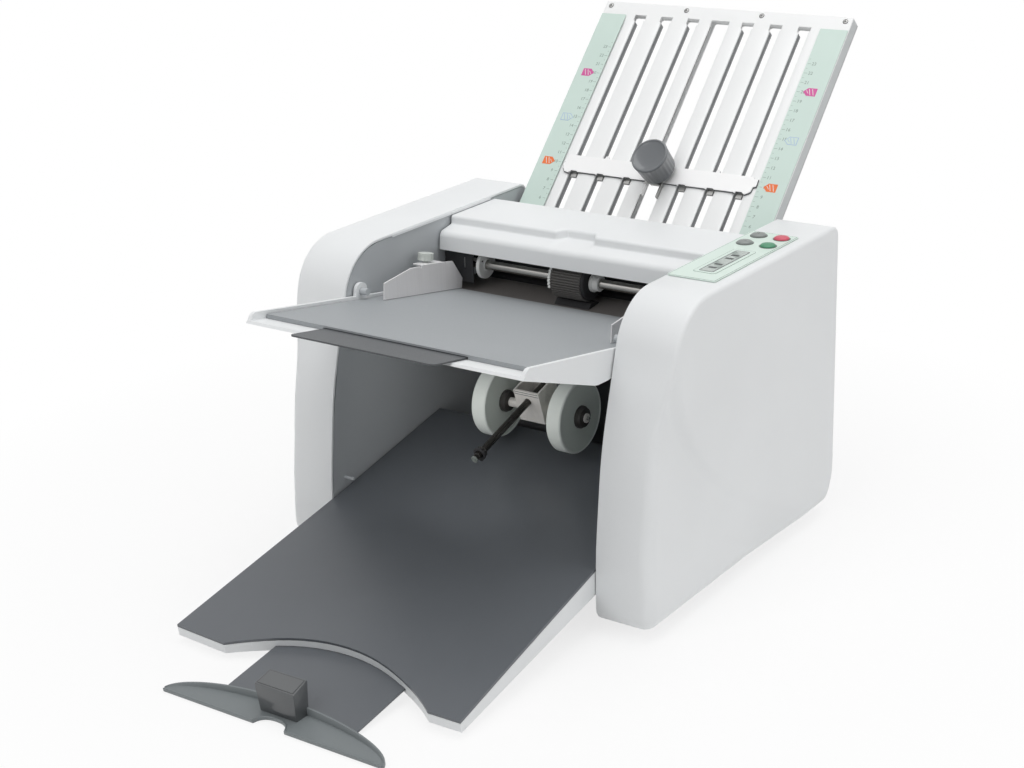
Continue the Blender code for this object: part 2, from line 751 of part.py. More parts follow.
def upper_pins():
    """Centres (y, z) of the upper plate's side pins."""
    return plate_pins(UPPER_TOP_Y, UPPER_TOP_Z, UPPER_TILT, upper_pin_places(), PLATE_PIN_RISE)


def lower_pins():
    """Centres (y, z) of the lower plate's side pins."""
    return plate_pins(-LOWER_MOUTH_Y, LOWER_MOUTH_Z, LOWER_TILT, (LOWER_PIN_NEAR, LOWER_PIN_FAR), LOWER_PIN_RISE)


def side_frame(name, side, machine):
    """Steel plate inside a cover, bored for the shafts, with the studs that carry table and tray."""
    outline = inset(panel_outline(), PANEL_WALL + FIT)
    inner, outer = mirrored(FRAME_INNER, FRAME_OUTER, side)
    plate = piece(name, extrude(outline, "x", inner, outer), "grey_frame", machine)
    holes = [(y, z, SHAFT_RADIUS) for y, z in roller_centres()]
    holes.append((-FEED_Y, FEED_Z, SHAFT_RADIUS))
    holes.append((-COVER_HINGE_Y, COVER_HINGE_Z, COVER_PIN_RADIUS))
    holes += [(y, z, PLATE_PIN_RADIUS) for y, z in upper_pins() + lower_pins()]
    if side < 0:
        holes.append((*idler_centre(), IDLER_PIN_RADIUS))
        holes.append((-MOTOR_Y, MOTOR_Z, MOTOR_SHAFT_RADIUS))
    bores = bmesh.new()
    for y, z, radius in holes:
        rod("x", y, z, radius + RUNNING, inner - OVERRUN, outer + OVERRUN, SMALL_STEPS, bores)
    cut(plate, bores, "bores")
    root = FRAME_INNER + FRAME_THICKNESS / 2
    start, end = mirrored(SIDE_INNER - STUD_LENGTH, root, side)
    stud = rod("x", -TABLE_PIVOT_Y, TABLE_PIVOT_Z, STUD_RADIUS, start, end)
    join(plate, stud, "stud")
    for label, y, z, radius in (("tray_pin", *tray_pin(), TRAY_PIN_RADIUS),
                                ("hold_pin", -HOLD_PIN_Y, HOLD_PIN_Z, HOLD_PIN_RADIUS)):
        start, end = mirrored(SIDE_INNER - TRAY_PIN_LENGTH, root, side)
        join(plate, rod("x", y, z, radius, start, end), label)
    return plate


def base_plate(machine):
    """Folded floor of the machine, with a flange beside each frame."""
    low = PANEL_BOTTOM
    inner = SIDE_INNER - FIT
    outline = [
        (-inner, low), (inner, low), (inner, low + BASE_FLANGE), (inner - BASE_THICKNESS, low + BASE_FLANGE),
        (inner - BASE_THICKNESS, low + BASE_THICKNESS), (BASE_THICKNESS - inner, low + BASE_THICKNESS),
        (BASE_THICKNESS - inner, low + BASE_FLANGE), (-inner, low + BASE_FLANGE),
    ]
    return piece("base_plate", extrude(outline, "y", -BASE_FRONT, -BASE_REAR), "grey_frame", machine, smooth=False)


def feet(machine):
    """Four rubber feet under the base plate."""
    across = FRAME_INNER - FOOT_INSET_X
    rows = (("front", -BASE_FRONT + FOOT_INSET_Y), ("rear", -BASE_REAR - FOOT_INSET_Y))
    for row, y in rows:
        for label, side in (("left", -1), ("right", 1)):
            seat = PANEL_BOTTOM - FIT
            profile = [(0, 0), (FOOT_RADIUS - FOOT_TAPER, 0), (FOOT_RADIUS, seat), (0, seat)]
            foot = turned(profile, "z", side * across, y, SMALL_STEPS)
            piece("foot_" + row + "_" + label, foot, "black_rubber", machine)


def rear_panel(machine):
    """Closing panel between the frames, open for the lower fold plate, the inlet and the switch."""
    half = SIDE_INNER - FIT
    low = PANEL_BOTTOM + BASE_THICKNESS + FIT
    front = -REAR_PANEL_DEPTH
    back = front + REAR_PANEL_THICKNESS
    sheet = block((-half, front, low), (half, back, REAR_PANEL_TOP))
    panel = piece("rear_panel", sheet, "white_casing", machine, smooth=False)
    run = (front + back) / 2 + LOWER_MOUTH_Y
    face = LOWER_MOUTH_Z + run * math.tan(LOWER_TILT)
    drop = LOWER_DEPTH / math.cos(LOWER_TILT)
    margin = WINDOW_MARGIN
    opening = PLATE_HALF_WIDTH + margin
    holes = block((-opening, front - OVERRUN, face - drop - margin), (opening, back + OVERRUN, face + margin))
    inlet_a = INLET_WIDTH / 2 + FIT
    inlet_b = INLET_HEIGHT / 2 + FIT
    block((INLET_X - inlet_a, front - OVERRUN, INLET_Z - inlet_b),
          (INLET_X + inlet_a, back + OVERRUN, INLET_Z + inlet_b), holes)
    switch_a = SWITCH_WIDTH / 2 + FIT
    switch_b = SWITCH_HEIGHT / 2 + SWITCH_GAP
    block((SWITCH_X - switch_a, front - OVERRUN, INLET_Z - switch_b),
          (SWITCH_X + switch_a, back + OVERRUN, INLET_Z + switch_b), holes)
    for index in range(VENT_COUNT):
        z = VENT_Z - VENT_PITCH * index
        block((VENT_X - VENT_LENGTH / 2, front - OVERRUN, z - VENT_WIDTH / 2),
              (VENT_X + VENT_LENGTH / 2, back + OVERRUN, z + VENT_WIDTH / 2), holes)
    cut(panel, holes, "openings")
    return panel


def power_inlet(machine):
    """Mains socket in the rear panel, with a flange outside and three pins."""
    outside = -REAR_PANEL_DEPTH + REAR_PANEL_THICKNESS + FIT
    mouth = outside + INLET_FLANGE_THICKNESS
    half_a, half_b = INLET_WIDTH / 2, INLET_HEIGHT / 2
    flange = rounded_rectangle(INLET_X - half_a - INLET_FLANGE, INLET_X + half_a + INLET_FLANGE,
                               INLET_Z - half_b - INLET_FLANGE, INLET_Z + half_b + INLET_FLANGE, INLET_FLANGE)
    inlet = piece("power_inlet", extrude(flange, "y", outside, mouth), "black_rubber", machine)
    body = block((INLET_X - half_a, outside + INLET_FLANGE_THICKNESS / 2 - INLET_DEPTH, INLET_Z - half_b),
                 (INLET_X + half_a, outside + INLET_FLANGE_THICKNESS / 2, INLET_Z + half_b))
    join(inlet, body, "body")
    wall = INLET_SOCKET_WALL
    floor = mouth - INLET_SOCKET_DEPTH
    left, right = INLET_X - half_a + wall, INLET_X + half_a - wall
    low, high = INLET_Z - half_b + wall, INLET_Z + half_b - wall
    socket = [(left, low), (right, low), (right, high - INLET_CORNER), (right - INLET_CORNER, high),
              (left + INLET_CORNER, high), (left, high - INLET_CORNER)]
    cut(inlet, extrude(socket, "y", floor, mouth + OVERRUN), "socket")
    for number, (shift, rise) in enumerate(((-1, -1), (0, 1), (1, -1))):
        x = INLET_X + shift * INLET_PIN_PITCH
        z = INLET_Z + rise * INLET_PIN_RISE
        blade = block((x - INLET_PIN_WIDTH / 2, floor - wall / 2, z - INLET_PIN_HEIGHT / 2),
                      (x + INLET_PIN_WIDTH / 2, outside, z + INLET_PIN_HEIGHT / 2))
        join(inlet, blade, "pin_" + str(number))
    return inlet


def power_switch(machine):
    """Rocker in the rear panel, pressed at its lower end."""
    centre = -REAR_PANEL_DEPTH + REAR_PANEL_THICKNESS / 2
    half = SWITCH_HEIGHT / 2
    cosine, sine = math.cos(SWITCH_TILT), math.sin(SWITCH_TILT)
    shape = [(-SWITCH_DEPTH, -half / 2), (SWITCH_PROUD, -half), (SWITCH_PROUD - SWITCH_WAIST, 0),
             (SWITCH_PROUD, half), (-SWITCH_DEPTH, half / 2)]
    outline = [(centre + y * cosine - z * sine, INLET_Z + y * sine + z * cosine) for y, z in shape]
    rocker = extrude(outline, "x", SWITCH_X - SWITCH_WIDTH / 2, SWITCH_X + SWITCH_WIDTH / 2)
    return piece("power_switch", rocker, "black_rubber", machine, (SWITCH_X, centre, INLET_Z), smooth=False)


def buttons():
    """Names, materials and centres (x, y) of the four buttons."""
    left = LABEL_LEFT + BUTTON_INSET
    right = left + BUTTON_COLUMN_PITCH
    return [
        ("button_minus", "grey_button", left, -BUTTON_ROW_FRONT),
        ("button_plus", "grey_button", left, -BUTTON_ROW_REAR),
        ("button_start", "green_button", right, -BUTTON_ROW_FRONT),
        ("button_stop", "red_button", right, -BUTTON_ROW_REAR),
    ]


def control_panel(machine, cover):
    """Label, display window and buttons on the right cover's top."""
    seat = PANEL_TOP + FIT
    outline = rounded_rectangle(LABEL_LEFT, LABEL_LEFT + LABEL_WIDTH, -LABEL_FRONT, -LABEL_REAR, LABEL_CORNER)
    label = piece("control_label", extrude(outline, "z", seat, seat + LABEL_THICKNESS), "green_label", machine)
    openings = block((DISPLAY_LEFT - FIT, -DISPLAY_FRONT - FIT, seat - OVERRUN),
                     (DISPLAY_LEFT + DISPLAY_WIDTH + FIT, -DISPLAY_REAR + FIT, seat + OVERRUN))
    wells = bmesh.new()
    flange_low = PANEL_TOP - PANEL_WALL - FIT - BUTTON_FLANGE_THICKNESS
    for name, material, x, y in buttons():
        rod("z", x, y, BUTTON_RADIUS + FIT, seat - OVERRUN, seat + OVERRUN, BUTTON_STEPS, openings)
        rod("z", x, y, BUTTON_RADIUS + FIT, flange_low, PANEL_TOP + OVERRUN, BUTTON_STEPS, wells)
        top = seat + LABEL_THICKNESS + BUTTON_RISE
        profile = [
            (0, flange_low), (BUTTON_RADIUS + BUTTON_FLANGE, flange_low),
            (BUTTON_RADIUS + BUTTON_FLANGE, flange_low + BUTTON_FLANGE_THICKNESS),
            (BUTTON_RADIUS, flange_low + BUTTON_FLANGE_THICKNESS), (BUTTON_RADIUS, top - BUTTON_DOME),
            (BUTTON_RADIUS - BUTTON_DOME, top), (0, top + BUTTON_DOME / 2),
        ]
        piece(name, turned(profile, "z", x, y, BUTTON_STEPS), material, machine, (x, y, PANEL_TOP))
    cut(label, openings, "openings")
    cut(cover, wells, "button_wells")
    window = block((DISPLAY_LEFT, -DISPLAY_FRONT, seat),
                   (DISPLAY_LEFT + DISPLAY_WIDTH, -DISPLAY_REAR, seat + DISPLAY_THICKNESS))
    piece("display_window", window, "display_glass", machine, smooth=False)


def top_cover(machine):
    """Hinged cover over the rollers: a stepped shell, open below, with a finger notch in its step."""
    half = SIDE_INNER - COVER_SIDE_GAP
    edge = COVER_EDGE_RADIUS
    step_low = COVER_TOP - COVER_STEP_HEIGHT
    ledge_low = step_low - COVER_LEDGE_DROP
    outline = fillet([
        (-COVER_REAR, COVER_REAR_BOTTOM, 0), (-COVER_REAR, COVER_TOP, edge), (-COVER_STEP_Y, COVER_TOP, edge),
        (-COVER_STEP_Y, step_low, 0), (-COVER_FRONT, ledge_low, edge), (-COVER_FASCIA_Y, COVER_FASCIA_BOTTOM, 0),
    ])
    cover = piece("top_cover", extrude(outline, "x", -half, half), "white_casing", machine,
                  (0, -COVER_HINGE_Y, COVER_HINGE_Z))
    wall = COVER_WALL
    hollow = [
        (-COVER_REAR - wall, COVER_REAR_BOTTOM - OVERRUN), (-COVER_REAR - wall, COVER_TOP - wall),
        (-COVER_STEP_Y + wall + COVER_NOTCH_DEPTH, COVER_TOP - wall),
        (-COVER_STEP_Y + wall + COVER_NOTCH_DEPTH, step_low - wall),
        (-COVER_FRONT + wall, ledge_low - wall), (-COVER_FASCIA_Y + wall, COVER_FASCIA_BOTTOM - OVERRUN),
    ]
    cut(cover, extrude(hollow, "x", wall - half, half - wall), "hollow")
    reach = COVER_NOTCH_WIDTH / 2
    front = -COVER_STEP_Y - OVERRUN
    deep = -COVER_STEP_Y + COVER_NOTCH_DEPTH
    notch = [(-reach - COVER_NOTCH_SLOPE, front), (reach + COVER_NOTCH_SLOPE, front), (reach, deep), (-reach, deep)]
    cut(cover, extrude(notch, "z", step_low, COVER_TOP + OVERRUN), "notch")
    for label, side in (("left", -1), ("right", 1)):
        start, end = mirrored(half - wall / 2, FRAME_OUTER, side)
        pin = rod("x", -COVER_HINGE_Y, COVER_HINGE_Z, COVER_PIN_RADIUS, start, end)
        join(cover, pin, "pin_" + label)
    return cover


def gear_outline(y, z, teeth, phase):
    """Toothed outline; a tooth's middle lies at the phase angle."""
    pitch_radius = GEAR_MODULE * teeth / 2
    tip, root = pitch_radius + TOOTH_ADDENDUM, pitch_radius - TOOTH_DEDENDUM
    step = math.tau / teeth
    points = []
    for tooth in range(teeth):
        middle = phase + step * tooth
        flanks = ((root, -TOOTH_ROOT_SHARE), (tip, -TOOTH_TIP_SHARE),
                  (tip, TOOTH_TIP_SHARE), (root, TOOTH_ROOT_SHARE))
        for radius, share in flanks:
            turn = middle + share * step / 2
            points.append((y + radius * math.cos(turn), z + radius * math.sin(turn)))
    return points


def meshing_phase(driver, driver_teeth, driver_phase, driven, driven_teeth):
    """Phase that puts the driven gear's gap over the driver's tooth."""
    toward = math.atan2(driven[1] - driver[1], driven[0] - driver[0])
    lead = (toward - driver_phase) / math.tau * driver_teeth
    return toward + math.pi - (0.5 - lead) * math.tau / driven_teeth


def roller_shaft(name, centre, phase, machine, pulley=False):
    """Rubber-covered fold roller with its gear outside the left frame."""
    y, z = centre
    rubber = ROLLER_RUBBER_HALF
    left = -(PULLEY_END if pulley else GEAR_END)
    profile = [
        (0, left), (SHAFT_RADIUS, left), (SHAFT_RADIUS, -rubber), (ROLLER_RADIUS, -rubber),
        (ROLLER_RADIUS, rubber), (SHAFT_RADIUS, rubber), (SHAFT_RADIUS, FRAME_OUTER + SHAFT_END),
        (0, FRAME_OUTER + SHAFT_END),
    ]
    roller = piece(name, turned(profile, "x", y, z, ROUND_STEPS), "black_rubber", machine, (0, y, z))
    outline = gear_outline(y, z, GEAR_TEETH, phase)
    join(roller, extrude(outline, "x", -GEAR_END + GEAR_BOSS, -GEAR_START), "gear")
    if pulley:
        disc = rod("x", y, z, ROLLER_PULLEY_RADIUS, -PULLEY_END + GEAR_BOSS, -PULLEY_START, ROUND_STEPS)
        join(roller, disc, "pulley")
    return roller


def fold_train(machine):
    """Four fold rollers and the idler, with their gears in mesh."""
    centres = roller_centres()
    main = centres[1]
    phases = {1: 0.0}
    for index in (0, 2, 3):
        phases[index] = meshing_phase(main, GEAR_TEETH, phases[1], centres[index], GEAR_TEETH)
    for index, centre in enumerate(centres):
        roller_shaft("fold_roller_" + str(index + 1), centre, phases[index], machine, pulley=index == 1)
    idler = idler_centre()
    idler_phase = meshing_phase(centres[0], GEAR_TEETH, phases[0], idler, IDLER_TEETH)
    outline = gear_outline(*idler, IDLER_TEETH, idler_phase)
    gear = piece("idler_gear", extrude(outline, "x", -GEAR_END + GEAR_BOSS, -GEAR_START), "white_nylon", machine,
                 (0, *idler))
    join(gear, rod("x", *idler, IDLER_PIN_RADIUS, -GEAR_END, -FRAME_INNER), "pin")
    return meshing_phase(idler, IDLER_TEETH, idler_phase, (-FEED_Y, FEED_Z), FEED_GEAR_TEETH)


def sleeve(name, material, machine, profile, steps=ROUND_STEPS):
    """Ring on the feed shaft, from (radius, x) points of its outer side."""
    bore = SHAFT_RADIUS + FIT
    ring = [(bore, profile[0][1]), *profile, (bore, profile[-1][1])]
    return piece(name, turned(ring, "x", -FEED_Y, FEED_Z, steps), material, machine, (0, -FEED_Y, FEED_Z))


def ribbed_outline(y, z, radius, depth, count):
    """Round outline with a square rib at every step."""
    points = []
    step = math.tau / count
    for index in range(count):
        turn = step * index
        for reach, share in ((radius, 0.0), (radius, 0.5), (radius - depth, 0.5), (radius - depth, 1.0)):
            angle = turn + step * share
            points.append((y + reach * math.cos(angle), z + reach * math.sin(angle)))
    return points


def feed_parts(machine, gear_phase):
    """Feed shaft with its gear, ribbed roller, toothed ring, disc and collar."""
    y, z = -FEED_Y, FEED_Z
    end = FRAME_OUTER + SHAFT_END
    shaft = rod("x", y, z, SHAFT_RADIUS, -GEAR_END, end, ROUND_STEPS)
    shaft = piece("feed_shaft", shaft, "steel", machine, (0, y, z))
    outline = gear_outline(y, z, FEED_GEAR_TEETH, gear_phase)
    join(shaft, extrude(outline, "x", -GEAR_END + GEAR_BOSS, -GEAR_START), "gear")
    ribs = ribbed_outline(y, z, FEED_ROLLER_RADIUS, FEED_RIB_DEPTH, FEED_RIBS)
    roller = piece("feed_roller", extrude(ribs, "x", FEED_ROLLER_LEFT, FEED_ROLLER_RIGHT), "black_rubber", machine,
                   (0, y, z))
    middle = (FEED_ROLLER_LEFT + FEED_ROLLER_RIGHT) / 2
    join(roller, rod("x", y, z, FEED_ROLLER_HUB_RADIUS, middle, FEED_ROLLER_HUB_RIGHT, ROUND_STEPS), "hub")
    start, stop = FEED_ROLLER_LEFT - OVERRUN, FEED_ROLLER_HUB_RIGHT + OVERRUN
    cut(roller, rod("x", y, z, SHAFT_RADIUS + FIT, start, stop, ROUND_STEPS), "bore")
    teeth = ribbed_outline(y, z, RING_RADIUS, RING_TOOTH_DEPTH, RING_TEETH)
    right = FEED_ROLLER_LEFT - FIT
    ring = piece("feed_ring", extrude(teeth, "x", right - RING_WIDTH, right), "white_nylon", machine, (0, y, z))
    cut(ring, rod("x", y, z, SHAFT_RADIUS + FIT, right - RING_WIDTH - OVERRUN, right + OVERRUN), "bore")
    left = DISC_RIGHT - DISC_WIDTH
    sleeve("shaft_disc", "white_nylon", machine, [
        (DISC_HUB_RADIUS, left - DISC_HUB_WIDTH), (DISC_HUB_RADIUS, left),
        (DISC_RADIUS, left), (DISC_RADIUS, DISC_RIGHT)])
    neck = COLLAR_LEFT + COLLAR_WIDTH
    sleeve("shaft_collar", "white_nylon", machine, [
        (COLLAR_RADIUS, COLLAR_LEFT), (COLLAR_RADIUS, neck), (COLLAR_NECK_RADIUS, neck),
        (COLLAR_NECK_RADIUS, neck + COLLAR_NECK_WIDTH)])


def drive(machine):
    """Motor on the left frame, its pulley and the belt up to the main roller."""
    y, z = -MOTOR_Y, MOTOR_Z
    start = -FRAME_INNER + FIT
    end = start + MOTOR_LENGTH
    bore = MOTOR_SHAFT_RADIUS + RUNNING
    profile = [
        (bore, start + MOTOR_BORE_DEPTH), (bore, start), (MOTOR_RADIUS - MOTOR_EDGE, start),
        (MOTOR_RADIUS, start + MOTOR_EDGE), (MOTOR_RADIUS, end - MOTOR_EDGE), (MOTOR_RADIUS - MOTOR_EDGE, end),
    ]
    body = turned([(0, start + MOTOR_BORE_DEPTH), *profile, (0, end)], "x", y, z)
    piece("motor", body, "motor_metal", machine)
    tip = start + MOTOR_BORE_DEPTH - FIT
    pulley = turned([(0, -PULLEY_END), (MOTOR_PULLEY_RADIUS, -PULLEY_END), (MOTOR_PULLEY_RADIUS, -PULLEY_START),
                     (MOTOR_SHAFT_RADIUS, -PULLEY_START), (MOTOR_SHAFT_RADIUS, tip), (0, tip)], "x", y, z)
    piece("motor_pulley", pulley, "steel", machine, (0, y, z))
    main_y, main_z = roller_centres()[1]
    lean = math.atan2(main_z - z, main_y - y)
    span = math.hypot(main_z - z, main_y - y)
    wrap = math.acos((MOTOR_PULLEY_RADIUS - ROLLER_PULLEY_RADIUS) / span)
    loops = []
    for extra in (RUNNING, RUNNING + BELT_THICKNESS):
        loop = []
        for step in range(ROUND_STEPS + 1):
            turn = lean - wrap + 2 * wrap * step / ROUND_STEPS
            reach = ROLLER_PULLEY_RADIUS + extra
            loop.append((main_y + reach * math.cos(turn), main_z + reach * math.sin(turn)))
        for step in range(SMALL_STEPS + 1):
            turn = lean + wrap + 2 * (math.pi - wrap) * step / SMALL_STEPS
            reach = MOTOR_PULLEY_RADIUS + extra
            loop.append((y + reach * math.cos(turn), z + reach * math.sin(turn)))
        loops.append(loop)
    middle = -(PULLEY_START + PULLEY_END) / 2
    belt = band(loops[0], loops[1], "x", middle - BELT_WIDTH / 2, middle + BELT_WIDTH / 2)
    piece("drive_belt", belt, "black_rubber", machine)


def guide_parts(machine):
    """Dark guide plate under the feed roller and the separator pad on it."""
    half = SIDE_INNER - COVER_SIDE_GAP
    sheet = GUIDE_THICKNESS
    outline = [
        (-GUIDE_FRONT, GUIDE_FRONT_Z), (-GUIDE_REAR, GUIDE_REAR_Z), (-GUIDE_REAR, GUIDE_REAR_Z - sheet),
        (-GUIDE_FRONT + sheet, GUIDE_FRONT_Z - sheet), (-GUIDE_FRONT + sheet, GUIDE_FRONT_Z - GUIDE_LIP),
        (-GUIDE_FRONT, GUIDE_FRONT_Z - GUIDE_LIP),
    ]
    piece("feed_guide", extrude(outline, "x", -half, half), "dark_sheet", machine, smooth=False)
    slope = (GUIDE_REAR_Z - GUIDE_FRONT_Z) / (GUIDE_FRONT - GUIDE_REAR)
    corners = []
    for y in (-FEED_Y - PAD_HALF_DEPTH, -FEED_Y + PAD_HALF_DEPTH):
        corners.append((y, GUIDE_FRONT_Z + (y + GUIDE_FRONT) * slope + FIT))
    top = FEED_Z - FEED_ROLLER_RADIUS - PAD_GAP
    corners += [(-FEED_Y + PAD_HALF_DEPTH / 2, top), (-FEED_Y - PAD_HALF_DEPTH / 2, top)]
    piece("separator_pad", extrude(corners, "x", -PAD_HALF_WIDTH, PAD_HALF_WIDTH), "black_rubber", machine,
          smooth=False)


def slot_prisms(count, pitch, width, centre_width, low, high, bottom, top, keyhole=False):
    """Solids that open a row of long slots; the middle one may be wider."""
    bm = bmesh.new()
    for index in range(count):
        place = index - (count - 1) // 2
        x = place * pitch
        half = (width if place else centre_width) / 2
        if keyhole and place:
            wide = KEYHOLE_WIDTH / 2
            neck = high - KEYHOLE_LENGTH
            outline = [(x - half, low), (x + half, low), (x + half, neck), (x + wide, neck),
                       (x + wide, high), (x - wide, high), (x - wide, neck), (x - half, neck)]
        else:
            outline = [(x - half, low), (x + half, low), (x + half, high), (x - half, high)]
        extrude(outline, "z", bottom, top, bm)
    return bm


def plate_side_pins(target, places, rise):
    """Join the pins that carry a fold plate in the frames."""
    for number, along in enumerate(places):
        for label, side in (("left", -1), ("right", 1)):
            start, end = mirrored(PLATE_HALF_WIDTH - RAIL_WIDTH / 2, FRAME_OUTER, side)
            pin = rod("x", along, -rise, PLATE_PIN_RADIUS, start, end)
            join(target, pin, "pin_" + label + "_" + str(number))


def upper_plate(machine):
    """Upper fold plate: slotted face, slotted channel behind it and two scale strips."""
    plate = frame("upper_plate_frame", machine, UPPER_TOP_Y, UPPER_TOP_Z, UPPER_TILT)
    half = PLATE_HALF_WIDTH
    slot_low = SLOT_BOTTOM_MARGIN - UPPER_LENGTH
    face = block((-half, -UPPER_LENGTH, -SHEET), (half, 0, 0))
    face = piece("upper_face", face, "plate_enamel", plate, smooth=False)
    cut(face, slot_prisms(SLOT_COUNT, SLOT_PITCH, SLOT_WIDTH, SLOT_CENTRE_WIDTH, slot_low, -SLOT_TOP,
                          -SHEET - OVERRUN, OVERRUN, True), "slots")
    seat = -SHEET - FIT
    channel = piece("upper_channel", block((-half, -UPPER_LENGTH, -PLATE_DEPTH), (half, 0, seat)), "plate_enamel",
                    plate, smooth=False)
    trough = block((RAIL_WIDTH - half, -UPPER_LENGTH - OVERRUN, SHEET - PLATE_DEPTH),
                   (half - RAIL_WIDTH, -TOP_RAIL_WIDTH, OVERRUN))
    cut(channel, trough, "trough")
    cut(channel, slot_prisms(SLOT_COUNT, SLOT_PITCH, REAR_SLOT_WIDTH, REAR_SLOT_WIDTH, slot_low, -SLOT_TOP,
                             -PLATE_DEPTH - OVERRUN, 2 * SHEET - PLATE_DEPTH), "slots")
    plate_side_pins(channel, upper_pin_places(), PLATE_PIN_RISE)
    for label, side in (("left", -1), ("right", 1)):
        start, end = mirrored(half - SCALE_WIDTH, half, side)
        strip = block((start, SCALE_BOTTOM_MARGIN - UPPER_LENGTH, FIT), (end, -SCALE_TOP, FIT + SCALE_THICKNESS))
        piece("scale_" + label, strip, "green_label", plate, smooth=False)
    stop_bar("upper", plate, UPPER_STOP_AT - UPPER_LENGTH, SLOT_COUNT, SLOT_PITCH)


def stop_bar(name, plate, at, count, pitch):
    """Bar across a fold plate with a tab in each slot, and the knob that clamps it."""
    reach, half = STOP_HALF_LENGTH, STOP_WIDTH / 2
    step = STOP_END_STEP
    outline = [(-reach, at - half), (reach, at - half), (reach, at), (reach - step, at + half),
               (step - reach, at + half), (-reach, at)]
    bar = piece(name + "_stop_bar", extrude(outline, "z", FIT, FIT + STOP_THICKNESS), "steel", plate, (0, at, 0),
                smooth=False)
    low = at - half + STOP_TAB_SETBACK
    for index in range(count):
        place = index - (count - 1) // 2
        wide = (STOP_TAB_WIDTH if place or count != SLOT_COUNT else STOP_CENTRE_TAB_WIDTH) / 2
        tab = block((place * pitch - wide, low, -STOP_TAB_DEPTH),
                    (place * pitch + wide, low + STOP_TAB_LENGTH, FIT + STOP_THICKNESS / 2))
        join(bar, tab, "tab_" + str(index))
    x = KNOB_X if count == SLOT_COUNT else 0
    y = at + KNOB_FORWARD
    cut(bar, rod("z", x, y, KNOB_STEM_RADIUS + RUNNING, -OVERRUN, STOP_THICKNESS + OVERRUN), "knob_hole")
    base = FIT + STOP_THICKNESS + KNOB_LIFT
    top = base + KNOB_HEIGHT
    profile = [
        (0, -KNOB_STEM_DEPTH), (KNOB_STEM_RADIUS, -KNOB_STEM_DEPTH), (KNOB_STEM_RADIUS, base),
        (KNOB_BASE_RADIUS, base), (KNOB_RADIUS, top - KNOB_EDGE), (KNOB_RADIUS - KNOB_EDGE, top),
        (KNOB_DIMPLE_RADIUS, top), (KNOB_DIMPLE_RADIUS - KNOB_DIMPLE, top - KNOB_DIMPLE), (0, top - KNOB_DIMPLE),
    ]
    piece(name + "_knob", turned(profile, "z", x, y), "dark_knob", plate, (x, y, base))


def lower_plate(machine):
    """Lower fold plate: slotted face and the channel below it, open at their mouth."""
    plate = frame("lower_plate_frame", machine, -LOWER_MOUTH_Y, LOWER_MOUTH_Z, LOWER_TILT)
    half = PLATE_HALF_WIDTH
    slot_end = LOWER_LENGTH - LOWER_SLOT_END_MARGIN
    face = piece("lower_face", block((-half, 0, -SHEET), (half, LOWER_LENGTH, 0)), "plate_enamel", plate, smooth=False)
    cut(face, slot_prisms(LOWER_SLOT_COUNT, LOWER_SLOT_PITCH, LOWER_SLOT_WIDTH, LOWER_SLOT_WIDTH, LOWER_SLOT_START,
                          slot_end, -SHEET - OVERRUN, OVERRUN), "slots")
    channel = block((-half, 0, -LOWER_DEPTH), (half, LOWER_LENGTH, -SHEET - FIT))
    channel = piece("lower_channel", channel, "plate_enamel", plate, smooth=False)
    trough = block((RAIL_WIDTH - half, -OVERRUN, SHEET - LOWER_DEPTH),
                   (half - RAIL_WIDTH, LOWER_LENGTH - RAIL_WIDTH, OVERRUN))
    cut(channel, trough, "trough")
    cut(channel, slot_prisms(LOWER_SLOT_COUNT, LOWER_SLOT_PITCH, LOWER_SLOT_WIDTH, LOWER_SLOT_WIDTH, LOWER_SLOT_START,
                             slot_end, -LOWER_DEPTH - OVERRUN, 2 * SHEET - LOWER_DEPTH), "slots")
    plate_side_pins(channel, (LOWER_PIN_NEAR, LOWER_PIN_FAR), LOWER_PIN_RISE)
    stop_bar("lower", plate, LOWER_STOP_AT, LOWER_SLOT_COUNT, LOWER_SLOT_PITCH)


